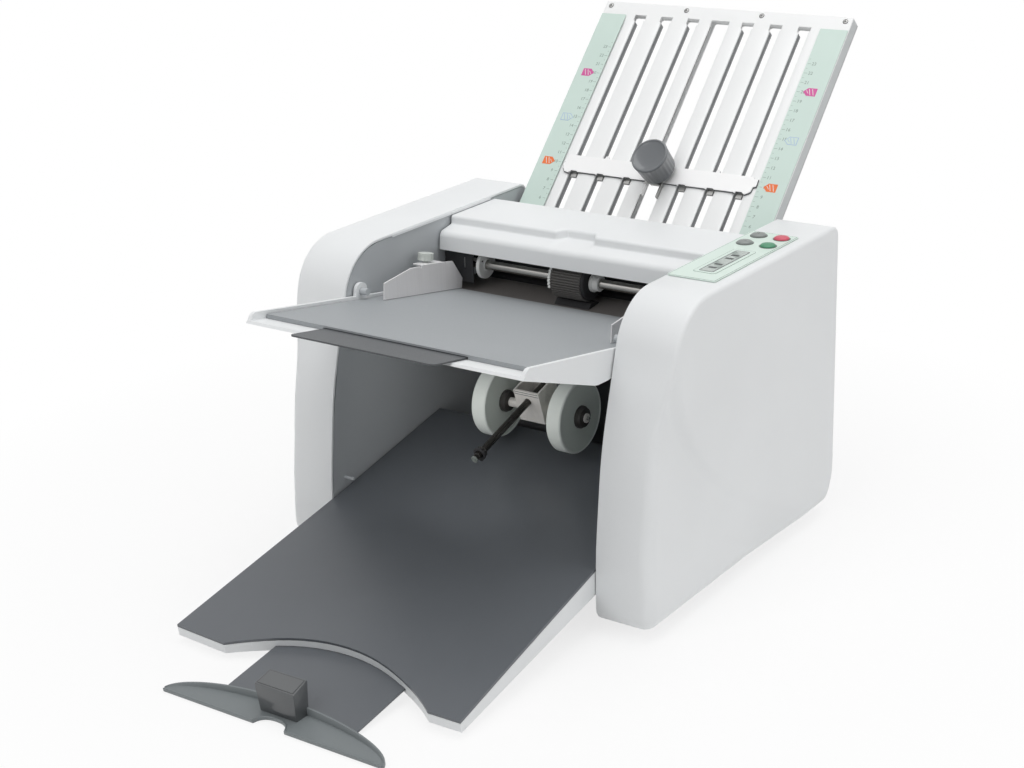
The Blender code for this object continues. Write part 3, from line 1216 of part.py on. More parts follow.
def feed_table(machine):
    """White table body on the studs, grey deck, pull-out extension and the paper guides."""
    table = frame("table_frame", machine, -TABLE_PIVOT_Y, TABLE_PIVOT_Z, TABLE_TILT)
    half = SIDE_INNER - TABLE_SIDE_GAP
    ridge, lip = -TABLE_RIDGE, -TABLE_FLOOR_BOTTOM
    profile = fillet([
        (-TABLE_FRONT, lip, 0), (-TABLE_KEEL_FRONT, -TABLE_KEEL, TABLE_KEEL_RADIUS),
        (-TABLE_KEEL_BREAK, -TABLE_KEEL_HEIGHT, TABLE_KEEL_RADIUS), (-TABLE_KEEL_REAR, -TABLE_WALL_DEPTH, 0),
        (TABLE_REAR, -TABLE_WALL_DEPTH, TABLE_LIP_RADIUS), (TABLE_REAR, ridge, TABLE_LIP_RADIUS),
        (EAR_HALF_WIDTH, ridge, 0), (EAR_HALF_WIDTH, EAR_TOP, EAR_RADIUS), (-EAR_HALF_WIDTH, EAR_TOP, EAR_RADIUS),
        (-EAR_HALF_WIDTH, ridge, 0), (-TABLE_WALL_FRONT, ridge, TABLE_WALL_RADIUS),
    ])
    body = piece("feed_table", extrude(profile, "x", -half, half), "white_casing", table)
    inner = half - TABLE_WALL
    long = TABLE_FRONT + OVERRUN
    hollows = block((-inner, -long, -TABLE_FLOOR_TOP), (inner, TABLE_REAR + OVERRUN, EAR_TOP + OVERRUN))
    block((-inner, -long, -TABLE_KEEL - OVERRUN), (inner, TABLE_REAR + OVERRUN, lip), hollows)
    cut(body, hollows, "hollows")
    cut(body, rod("x", 0, 0, STUD_RADIUS + RUNNING, -half - OVERRUN, half + OVERRUN), "stud_holes")
    wide = inner - DECK_SIDE_GAP
    seat = -TABLE_FLOOR_TOP + FIT
    under = -DECK_TOP - DECK_SHEET
    section = [(-wide, seat), (-DECK_RAIL_INNER, seat), (-DECK_RAIL_INNER, under), (DECK_RAIL_INNER, under),
               (DECK_RAIL_INNER, seat), (wide, seat), (wide, -DECK_TOP), (-wide, -DECK_TOP)]
    piece("table_deck", extrude(section, "y", -DECK_FRONT, TABLE_REAR), "grey_deck", table, smooth=False)
    corner = EXTENSION_CORNER
    sheet = fillet([
        (-EXTENSION_HALF_WIDTH, -EXTENSION_FRONT, corner), (EXTENSION_HALF_WIDTH, -EXTENSION_FRONT, corner),
        (EXTENSION_HALF_WIDTH, EXTENSION_LENGTH - EXTENSION_FRONT, 0),
        (-EXTENSION_HALF_WIDTH, EXTENSION_LENGTH - EXTENSION_FRONT, 0),
    ])
    sheet = extrude(sheet, "z", seat, seat + EXTENSION_THICKNESS)
    piece("table_extension", sheet, "dark_sheet", table, smooth=False)
    for label, side in (("left", -1), ("right", 1)):
        paper_guide(label, side, table)


def paper_guide(label, side, table):
    """Upright side guide with its flanges, and the knurled screw that clamps it."""
    deck = FIT - DECK_TOP
    rises = [(GUIDE_START, 0), (GUIDE_END, 0), (GUIDE_END, GUIDE_END_RISE), (GUIDE_NOSE_START, GUIDE_NOSE_RISE),
             (GUIDE_SEAT_END, GUIDE_SEAT_RISE), (GUIDE_SEAT_START, GUIDE_SEAT_RISE), (GUIDE_BREAK, GUIDE_BREAK_RISE),
             (GUIDE_START, GUIDE_START_RISE)]
    outline = [(v, deck + rise) for v, rise in rises]
    sheet = GUIDE_PLATE_THICKNESS
    inner, outer = mirrored(GUIDE_PLATE_X, GUIDE_PLATE_X + sheet, side)
    middle = (inner + outer) / 2
    guide = piece("guide_" + label, extrude(outline, "x", inner, outer), "brushed_steel", table, (middle, 0, 0),
                  smooth=False)
    start, end = mirrored(GUIDE_PLATE_X + sheet / 2, GUIDE_PLATE_X + GUIDE_FLANGE, side)
    top = deck + GUIDE_SEAT_RISE + GUIDE_FLANGE_RISE
    foot = deck - GUIDE_FLANGE_RISE / 2
    join(guide, block((start, GUIDE_SEAT_START, top - sheet), (end, GUIDE_SEAT_END, top)), "seat")
    join(guide, block((start, GUIDE_SEAT_START, foot), (end, GUIDE_SEAT_END, foot + sheet)), "foot")
    x = side * (GUIDE_PLATE_X + THUMB_OUT)
    bore = THUMB_STEM_RADIUS + RUNNING
    cut(guide, rod("z", x, THUMB_AT, bore, foot - OVERRUN, top + OVERRUN), "screw_holes")
    base = top + FIT
    grip = ribbed_outline(x, THUMB_AT, THUMB_RADIUS, THUMB_KNURL_DEPTH, THUMB_KNURLS)
    screw = piece("guide_screw_" + label, extrude(grip, "z", base, base + THUMB_HEIGHT), "steel", table,
                  (x, THUMB_AT, base))
    join(screw, rod("z", x, THUMB_AT, THUMB_STEM_RADIUS, foot, base + THUMB_HEIGHT / 2), "stem")


def delivery_wheels(machine):
    """Cross bar, rod on its hinge, bracket with its axle on the rod, and two wheels."""
    half = FRAME_INNER - FIT
    front = -BAR_FRONT
    bar = block((-half, front, BAR_BOTTOM), (half, front + BAR_DEPTH, BAR_BOTTOM + BAR_HEIGHT))
    bar = piece("exit_cross_bar", bar, "grey_frame", machine, smooth=False)
    for label, side in (("left", -1), ("right", 1)):
        start, end = mirrored(LUG_INNER, LUG_INNER + LUG_THICKNESS, side)
        lug = block((start, -ROD_HINGE_Y - LUG_HALF_DEPTH, ROD_HINGE_Z - LUG_HALF_HEIGHT),
                    (end, front + BAR_DEPTH / 2, ROD_HINGE_Z + LUG_HALF_HEIGHT))
        join(bar, lug, "lug_" + label)
    reach = LUG_INNER + LUG_THICKNESS + OVERRUN
    cut(bar, rod("x", -ROD_HINGE_Y, ROD_HINGE_Z, ROD_PIN_RADIUS + RUNNING, -reach, reach), "pin_hole")
    swing = frame("rod_frame", machine, -ROD_HINGE_Y, ROD_HINGE_Z, ROD_TILT)
    bar_rod = piece("wheel_rod", rod("y", 0, 0, ROD_RADIUS, -ROD_LENGTH, 0), "steel", swing)
    join(bar_rod, rod("x", 0, 0, ROD_EYE_RADIUS, -ROD_EYE_HALF, ROD_EYE_HALF), "eye")
    join(bar_rod, rod("x", 0, 0, ROD_PIN_RADIUS, -ROD_PIN_HALF, ROD_PIN_HALF), "pin")
    join(bar_rod, rod("y", 0, 0, ROD_CLIP_RADIUS, -ROD_CLIP_AT - ROD_CLIP_WIDTH, -ROD_CLIP_AT), "clip")
    wide, sheet = BRACKET_HALF_WIDTH, BRACKET_SHEET
    back, face = -BRACKET_REAR, -BRACKET_FRONT
    ring = [(-wide, face), (wide, face), (wide, back), (-wide, back)]
    hollow = [(sheet - wide, face + sheet), (wide - sheet, face + sheet), (wide - sheet, back - sheet),
              (sheet - wide, back - sheet)]
    bracket = piece("wheel_bracket", band(hollow, ring, "z", -BRACKET_BOTTOM, BRACKET_TOP), "steel", swing,
                    smooth=False)
    cut(bracket, rod("y", 0, 0, ROD_RADIUS + RUNNING, face - OVERRUN, back + OVERRUN), "rod_holes")
    hub = WHEEL_WIDTH / 2 + WHEEL_HUB_PROUD
    inside, outside = WHEEL_X - hub - FIT, WHEEL_X + hub + FIT
    thick, seat = AXLE_HEAD_RADIUS, wide - sheet / 2
    profile = [
        (0, -outside - AXLE_HEAD), (thick, -outside - AXLE_HEAD), (thick, -outside), (AXLE_RADIUS, -outside),
        (AXLE_RADIUS, -inside), (thick, -inside), (thick, -seat), (AXLE_RADIUS, -seat),
        (AXLE_RADIUS, seat), (thick, seat), (thick, inside), (AXLE_RADIUS, inside),
        (AXLE_RADIUS, outside), (thick, outside), (thick, outside + AXLE_HEAD), (0, outside + AXLE_HEAD),
    ]
    join(bracket, turned(profile, "x", -AXLE_AT, -AXLE_DROP, SMALL_STEPS), "axle")
    for label, side in (("left", -1), ("right", 1)):
        bore = AXLE_RADIUS + RUNNING
        edge = WHEEL_WIDTH / 2
        tread, flat = WHEEL_RADIUS - WHEEL_EDGE, edge - WHEEL_EDGE
        ring = [(bore, -hub), (WHEEL_HUB_RADIUS, -hub), (WHEEL_HUB_RADIUS, -edge), (tread, -edge),
                (WHEEL_RADIUS, -flat), (WHEEL_RADIUS, flat), (tread, edge),
                (WHEEL_HUB_RADIUS, edge), (WHEEL_HUB_RADIUS, hub), (bore, hub)]
        centre = side * WHEEL_X
        wheel = turned([(radius, centre + along) for radius, along in ring], "x", -AXLE_AT, -AXLE_DROP, WHEEL_STEPS)
        piece("wheel_" + label, wheel, "wheel_grey", swing, (centre, -AXLE_AT, -AXLE_DROP))


def tray_pin():
    """Centre (y, z) of the pins that the tray turns on."""
    cosine, sine = math.cos(TRAY_TILT), math.sin(TRAY_TILT)
    return (-TRAY_FRONT + TRAY_PIN_AT * cosine - TRAY_PIN_RISE * sine,
            TRAY_FRONT_Z + TRAY_PIN_AT * sine + TRAY_PIN_RISE * cosine)


def arc_points(centre_x, apex, radius, half, steps):
    """Points from right to left along an arc that bulges to the rear."""
    spread = math.asin(half / radius)
    points = []
    for step in range(steps + 1):
        turn = spread - 2 * spread * step / steps
        points.append((centre_x + radius * math.sin(turn), apex - radius * (1 - math.cos(turn))))
    return points


def crescent_radius():
    """Radius of the crescent's rear edge."""
    return (CRESCENT_HALF_WIDTH ** 2 + CRESCENT_SAGITTA ** 2) / (2 * CRESCENT_SAGITTA)


def crescent_apex():
    """Place of the crescent's rearmost point in the tray's frame."""
    return CRESCENT_END_WIDTH + CRESCENT_SAGITTA - CRESCENT_REACH


def tray_plan():
    """Plan of the tray, with the curved recess that takes the crescent stop."""
    half = TRAY_HALF_WIDTH
    radius = crescent_radius() + RECESS_CLEARANCE
    apex = crescent_apex() + STOP_TRAVEL + RECESS_CLEARANCE
    reach = math.sqrt(radius ** 2 - (radius - apex) ** 2)
    recess = arc_points(STRETCH_X, apex, radius, reach, CRESCENT_STEPS)
    return [(-half, 0), (-half, TRAY_LENGTH), (half, TRAY_LENGTH), (half, 0), *recess]


def tray_rings(plan, low, high):
    """Two rings over a plan, each at a height that may rise to the rear."""
    rise = (TRAY_REAR_HEIGHT - TRAY_FRONT_HEIGHT) / TRAY_LENGTH
    return [[(x, y, level + slope * rise * y) for x, y in plan] for level, slope in (low, high)]


def tray(machine):
    """Delivery tray on the frame pins, its deck, the pull-out extension and the crescent stop."""
    rest = frame("tray_frame", machine, -TRAY_FRONT, TRAY_FRONT_Z, TRAY_TILT)
    half = TRAY_HALF_WIDTH
    plan = tray_plan()
    top = TRAY_FRONT_HEIGHT
    under = top - TRAY_DECK_THICKNESS
    body = piece("tray_body", loft(tray_rings(plan, (0, 0), (under - FIT, 1))), "white_casing", rest,
                 (0, TRAY_PIN_AT, TRAY_PIN_RISE), smooth=False)
    floor = TRAY_FLOOR
    cut(body, extrude(inset(plan, TRAY_WALL), "z", floor, TRAY_REAR_HEIGHT + OVERRUN), "hollow")
    reach = STRETCH_HALF_WIDTH + FIT
    slot = block((STRETCH_X - reach, -OVERRUN, floor),
                 (STRETCH_X + reach, 2 * STOP_TRAVEL, floor + 2 * FIT + STRETCH_THICKNESS))
    cut(body, slot, "slot")
    pin = rod("x", TRAY_PIN_AT, TRAY_PIN_RISE, TRAY_PIN_RADIUS + RUNNING, -half - OVERRUN, half + OVERRUN)
    cut(body, pin, "pin_holes")
    cosine, sine = math.cos(TRAY_TILT), math.sin(TRAY_TILT)
    for label, place in (("left", -1), ("right", 1)):
        ring = circle(place * (half - TRAY_PAD_INSET), TRAY_PAD_AT, TRAY_PAD_RADIUS, SMALL_STEPS)
        level = TRAY_PAD_CLEARANCE - TRAY_FRONT_Z
        join(body, loft([[(x, y, (level - y * sine) / cosine) for x, y in ring],
                         [(x, y, floor / 2) for x, y in ring]]), "pad_" + label)
    piece("tray_deck", loft(tray_rings(plan, (under, 1), (top, 1))), "dark_sheet", rest, smooth=False)
    low = floor + FIT
    front = -STRETCH_REACH
    corner = STRETCH_CORNER
    left, right = STRETCH_X - STRETCH_HALF_WIDTH, STRETCH_X + STRETCH_HALF_WIDTH
    plate = fillet([(left, front, corner), (right, front, corner), (right, front + STRETCH_LENGTH, 0),
                    (left, front + STRETCH_LENGTH, 0)])
    piece("tray_extension", extrude(plate, "z", low, low + STRETCH_THICKNESS), "stop_grey", rest, smooth=False)
    crescent_stop(rest, low + STRETCH_THICKNESS + FIT)


def crescent_stop(rest, low):
    """Crescent-shaped dish with a raised block, sliding on the tray extension."""
    half, front = CRESCENT_HALF_WIDTH, -CRESCENT_REACH
    outline = arc_points(STRETCH_X, crescent_apex(), crescent_radius(), half, CRESCENT_STEPS)
    outline.append((STRETCH_X - half, front))
    opening = math.acos(1 - THUMB_NOTCH_DEPTH / THUMB_NOTCH_RADIUS)
    for step in range(THUMB_NOTCH_STEPS + 1):
        turn = -opening + 2 * opening * step / THUMB_NOTCH_STEPS
        outline.append((STRETCH_X + THUMB_NOTCH_RADIUS * math.sin(turn),
                        front + THUMB_NOTCH_DEPTH - THUMB_NOTCH_RADIUS * (1 - math.cos(turn))))
    outline.append((STRETCH_X + half, front))
    top = low + CRESCENT_HEIGHT
    dish = piece("tray_stop", extrude(outline, "z", low, top), "stop_grey", rest)
    cut(dish, extrude(inset(outline, CRESCENT_RIM), "z", low + CRESCENT_FLOOR, top + OVERRUN), "pocket")
    rings = []
    for wide, reach, depth, z in (
            (BLOCK_HALF_BOTTOM, BLOCK_BOTTOM_REACH, BLOCK_BOTTOM_DEPTH, low + CRESCENT_FLOOR / 2),
            (BLOCK_HALF_TOP, BLOCK_TOP_REACH, BLOCK_TOP_DEPTH, low + BLOCK_HEIGHT)):
        rings.append([(STRETCH_X - wide, -reach, z), (STRETCH_X + wide, -reach, z),
                      (STRETCH_X + wide, depth - reach, z), (STRETCH_X - wide, depth - reach, z)])
    join(dish, loft(rings), "block")
    return dish


def build():
    """Build the whole machine under one root."""
    clear_scene()
    machine = frame("machine_frame", None, MACHINE_SHIFT_Y, 0)
    base_plate(machine)
    feet(machine)
    side_frame("side_frame_left", -1, machine)
    side_frame("side_frame_right", 1, machine)
    side_cover("side_cover_left", -1, machine)
    right_cover = side_cover("side_cover_right", 1, machine)
    rear_panel(machine)
    power_inlet(machine)
    power_switch(machine)
    control_panel(machine, right_cover)
    top_cover(machine)
    feed_parts(machine, fold_train(machine))
    drive(machine)
    guide_parts(machine)
    upper_plate(machine)
    lower_plate(machine)
    feed_table(machine)
    delivery_wheels(machine)
    tray(machine)


build()
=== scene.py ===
"""Desk-top folding machine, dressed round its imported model.

Lengths are in metres. Inside the machine's own frame y is 0 at the rear of the side covers and z is 0
on the counter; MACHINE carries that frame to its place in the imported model.
"""
import math

import bmesh
import bpy
from mathutils import Matrix, Vector


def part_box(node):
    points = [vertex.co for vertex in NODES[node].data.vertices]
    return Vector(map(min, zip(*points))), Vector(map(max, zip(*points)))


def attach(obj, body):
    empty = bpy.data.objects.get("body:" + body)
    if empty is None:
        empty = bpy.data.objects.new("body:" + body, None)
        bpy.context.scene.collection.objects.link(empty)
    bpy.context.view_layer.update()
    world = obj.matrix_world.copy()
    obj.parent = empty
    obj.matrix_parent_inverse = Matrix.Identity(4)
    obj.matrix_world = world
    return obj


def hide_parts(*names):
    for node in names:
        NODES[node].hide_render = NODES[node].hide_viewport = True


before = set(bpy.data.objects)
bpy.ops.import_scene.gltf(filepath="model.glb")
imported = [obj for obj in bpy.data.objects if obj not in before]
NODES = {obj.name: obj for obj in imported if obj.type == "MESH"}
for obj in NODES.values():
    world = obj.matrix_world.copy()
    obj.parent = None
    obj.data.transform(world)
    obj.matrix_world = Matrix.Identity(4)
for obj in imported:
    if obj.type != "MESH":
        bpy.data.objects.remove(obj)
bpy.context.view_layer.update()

# Where each assembly stands
SHIFT_Y = 0.192627
MACHINE = Matrix.Translation((0, SHIFT_Y, 0))


def tilted(y, z, degrees):
    """Place of an assembly that is tilted about X in the machine's frame."""
    return MACHINE @ Matrix.Translation((0, y, z)) @ Matrix.Rotation(math.radians(degrees), 4, "X")


UPPER_PLATE = tilted(0.1355, 0.3947, 45.82)
TABLE = tilted(-0.2407, 0.2168, -9.86)
ROD = tilted(-0.1165, 0.1503, 17.46)
TRAY = tilted(-0.4710, 0.0045, 8.3)

# Sizes that more than one piece uses
FIT = 0.0003                # gap under a piece that lies on another
SIDE_INNER = 0.1285         # inner and outer faces of the side covers
SIDE_OUTER = 0.1805
PANEL_TOP = 0.2525
FEED_Y = -0.115             # feed shaft
FEED_Z = 0.2105
PLATE_HALF = 0.1245         # upper fold plate
PLATE_LENGTH = 0.2693
SLOT_PITCH = 0.0277
STRIP_INNER = 0.0983        # where the scale strips end and the slats begin
SOFT_ANGLE = math.radians(38)
SIDES = (("left", -1), ("right", 1))


# ---- shader building

def srgb(red, green, blue):
    """Linear colour from 0-255 display values."""
    values = []
    for part in (red, green, blue):
        share = part / 255
        values.append(share / 12.92 if share <= 0.04045 else ((share + 0.055) / 1.055) ** 2.4)
    return (*values, 1.0)


def shaded(colour, factor, offset=0.0):
    """Lighter or darker shade of a linear colour."""
    return (*(min(1.0, part * factor + offset) for part in colour[:3]), 1.0)


def node(tree, kind, inputs=None, **settings):
    """Add a shader node; an input that is a socket is linked, anything else is set."""
    made = tree.nodes.new(kind)
    for key, value in settings.items():
        setattr(made, key, value)
    for key, value in (inputs or {}).items():
        if isinstance(value, bpy.types.NodeSocket):
            tree.links.new(value, made.inputs[key])
        else:
            made.inputs[key].default_value = value
    return made


def new_group(name, inputs, outputs):
    """Start a node group with named float, vector or colour sockets."""
    tree = bpy.data.node_groups.new(name, "ShaderNodeTree")
    for label, kind, value in inputs:
        socket = tree.interface.new_socket(name=label, in_out="INPUT", socket_type="NodeSocket" + kind)
        socket.default_value = value
    for label, kind in outputs:
        tree.interface.new_socket(name=label, in_out="OUTPUT", socket_type="NodeSocket" + kind)
    return tree, tree.nodes.new("NodeGroupInput").outputs, tree.nodes.new("NodeGroupOutput").inputs


def calc(tree, operation, first, second=0.0, clamp=False):
    """Add a math node and give its result."""
    return node(tree, "ShaderNodeMath", {0: first, 1: second}, operation=operation, use_clamp=clamp).outputs[0]


def remap(tree, value, low, high, to_low=0.0, to_high=1.0):
    """Map a value from one range to another, held at both ends."""
    inputs = {"Value": value, "From Min": low, "From Max": high, "To Min": to_low, "To Max": to_high}
    return node(tree, "ShaderNodeMapRange", inputs, clamp=True).outputs["Result"]


def blend_colour(tree, share, first, second):
    """Mix two colours."""
    mixed = node(tree, "ShaderNodeMix", data_type="RGBA")
    for socket, value in ((mixed.inputs[0], share), (mixed.inputs[6], first), (mixed.inputs[7], second)):
        if isinstance(value, bpy.types.NodeSocket):
            tree.links.new(value, socket)
        else:
            socket.default_value = value
    return mixed.outputs[2]


def scaled_sum(tree, value, factor, offset):
    """Value times a factor plus an offset."""
    made = node(tree, "ShaderNodeMath", {0: value, 1: factor, 2: offset}, operation="MULTIPLY_ADD")
    return made.outputs[0]


def seen_directly(tree):
    """1 for camera, glossy and transmission rays, 0 for the others."""
    rays = node(tree, "ShaderNodeLightPath").outputs
    through = calc(tree, "MAXIMUM", rays["Is Glossy Ray"], rays["Is Transmission Ray"])
    return calc(tree, "MAXIMUM", rays["Is Camera Ray"], through)


def noise(tree, vector, scale, detail=3.0, rough=0.5):
    """Noise value from a vector."""
    inputs = {"Vector": vector, "Scale": scale, "Detail": detail, "Roughness": rough}
    return node(tree, "ShaderNodeTexNoise", inputs).outputs["Fac"]


def make_skin_group():
    """Fine eroded texture of a moulding, with a slow drift in tone."""
    tree, given, put = new_group("moulded_skin", [
        ("Vector", "Vector", (0, 0, 0)), ("Scale", "Float", 900.0), ("Drift Scale", "Float", 9.0)],
        [("Height", "Float"), ("Drift", "Float"), ("Speckle", "Float")])
    fine = noise(tree, given["Vector"], given["Scale"], 4.0, 0.62)
    slow = noise(tree, given["Vector"], given["Drift Scale"], 2.0, 0.5)
    grain = node(tree, "ShaderNodeTexVoronoi", {"Vector": given["Vector"], "Scale": given["Scale"]})
    tree.links.new(fine, put["Height"])
    tree.links.new(remap(tree, slow, 0.32, 0.68), put["Drift"])
    tree.links.new(remap(tree, grain.outputs["Distance"], 0.05, 0.75), put["Speckle"])
    return tree


def make_streak_group():
    """Long streaks of drawn or brushed metal; Stretch is the count of lines per metre along X, Y and Z."""
    tree, given, put = new_group("drawn_streaks", [
        ("Vector", "Vector", (0, 0, 0)), ("Stretch", "Vector", (20.0, 2500.0, 20.0))],
        [("Streak", "Float"), ("Band", "Float")])
    fine = node(tree, "ShaderNodeVectorMath", {0: given["Vector"], 1: given["Stretch"]}, operation="MULTIPLY")
    coarse = node(tree, "ShaderNodeVectorMath", {0: fine.outputs[0], 1: (0.14, 0.14, 0.14)}, operation="MULTIPLY")
    tree.links.new(noise(tree, fine.outputs[0], 1.0, 3.0, 0.6), put["Streak"])
    tree.links.new(remap(tree, noise(tree, coarse.outputs[0], 1.0, 2.0), 0.3, 0.7), put["Band"])
    return tree


def make_edge_group():
    """Mask along sharp outer edges, broken up so that it looks handled."""
    tree, given, put = new_group("rubbed_edges", [
        ("Vector", "Vector", (0, 0, 0)), ("Width", "Float", 0.0008), ("Patch Scale", "Float", 60.0)],
        [("Mask", "Float")])
    soft = node(tree, "ShaderNodeBevel", {"Radius": given["Width"]}, samples=4)
    plain = node(tree, "ShaderNodeNewGeometry")
    turn = node(tree, "ShaderNodeVectorMath", {0: soft.outputs[0], 1: plain.outputs["Normal"]},
                operation="DOT_PRODUCT")
    edge = remap(tree, turn.outputs["Value"], 0.995, 0.80)
    patch = remap(tree, noise(tree, given["Vector"], given["Patch Scale"], 3.0), 0.35, 0.65, 0.35, 1.0)
    tree.links.new(calc(tree, "MULTIPLY", edge, patch, True), put["Mask"])
    return tree


def make_dust_group():
    """Faint settled dust on faces that look up."""
    tree, given, put = new_group("settled_dust", [
        ("Vector", "Vector", (0, 0, 0)), ("Scale", "Float", 35.0)], [("Mask", "Float")])
    plain = node(tree, "ShaderNodeNewGeometry")
    up = node(tree, "ShaderNodeSeparateXYZ", {0: plain.outputs["Normal"]}).outputs["Z"]
    level = remap(tree, up, 0.35, 0.95)
    cloud = remap(tree, noise(tree, given["Vector"], given["Scale"], 5.0, 0.6), 0.42, 0.72)
    tree.links.new(calc(tree, "MULTIPLY", level, cloud, True), put["Mask"])
    return tree


SKIN = make_skin_group()
STREAKS = make_streak_group()
EDGES = make_edge_group()
DUST = make_dust_group()


def use_group(tree, group, inputs):
    """Place a node group."""
    return node(tree, "ShaderNodeGroup", inputs, node_tree=group).outputs


def start_paint(name, metallic=0.0, specular=0.5, coat=0.0):
    """Start a material; gives its tree, its shader and the place coordinates."""
    paint = bpy.data.materials.new(name)
    paint.use_nodes = True
    tree = paint.node_tree
    shader = tree.nodes["Principled BSDF"]
    shader.inputs["Metallic"].default_value = metallic
    shader.inputs["Specular IOR Level"].default_value = specular
    shader.inputs["Coat Weight"].default_value = coat
    place = node(tree, "ShaderNodeTexCoord").outputs["Object"]
    return paint, tree, shader, place


def set_bump(tree, shader, height, distance):
    """Feed a height to the shader's normal."""
    bump = node(tree, "ShaderNodeBump", {"Height": height, "Distance": distance, "Strength": 1.0})
    tree.links.new(bump.outputs[0], shader.inputs["Normal"])


def moulded(name, colour, roughness, scale=900.0, relief=0.00004, rub=0.25, specular=0.5, coat=0.0, dust=0.05):
    """Moulded or painted surface: fine skin, slow drift in tone, paler rubbed edges and a trace of dust."""
    paint, tree, shader, place = start_paint(name, 0.0, specular, coat)
    skin = use_group(tree, SKIN, {"Vector": place, "Scale": scale})
    edge = use_group(tree, EDGES, {"Vector": place})["Mask"]
    grime = use_group(tree, DUST, {"Vector": place})["Mask"]
    base = srgb(*colour)
    dark, light, dusty = shaded(base, 0.965), shaded(base, 1.25, 0.02), shaded(base, 0.9, 0.035)
    toned = blend_colour(tree, skin["Drift"], dark, base)
    toned = blend_colour(tree, calc(tree, "MULTIPLY", edge, rub), toned, light)
    toned = blend_colour(tree, calc(tree, "MULTIPLY", grime, dust), toned, dusty)
    tree.links.new(toned, shader.inputs["Base Color"])
    rough = scaled_sum(tree, skin["Speckle"], 0.10, roughness - 0.05)
    rough = calc(tree, "SUBTRACT", rough, calc(tree, "MULTIPLY", edge, 0.08))
    tree.links.new(rough, shader.inputs["Roughness"])
    set_bump(tree, shader, skin["Height"], relief)
    return paint


def drawn_metal(name, colour, roughness, stretch, metallic=1.0, contrast=0.12, relief=0.000015):
    """Metal with long drawn or brushed lines."""
    paint, tree, shader, place = start_paint(name, metallic)
    lines = use_group(tree, STREAKS, {"Vector": place, "Stretch": stretch})
    edge = use_group(tree, EDGES, {"Vector": place, "Width": 0.0005})["Mask"]
    base = srgb(*colour)
    toned = blend_colour(tree, lines["Streak"], shaded(base, 1 - 2 * contrast), base)
    toned = blend_colour(tree, calc(tree, "MULTIPLY", edge, 0.4), toned, (0.9, 0.9, 0.9, 1.0))
    tree.links.new(toned, shader.inputs["Base Color"])
    tree.links.new(scaled_sum(tree, lines["Band"], 0.14, roughness - 0.07), shader.inputs["Roughness"])
    set_bump(tree, shader, lines["Streak"], relief)
    return paint


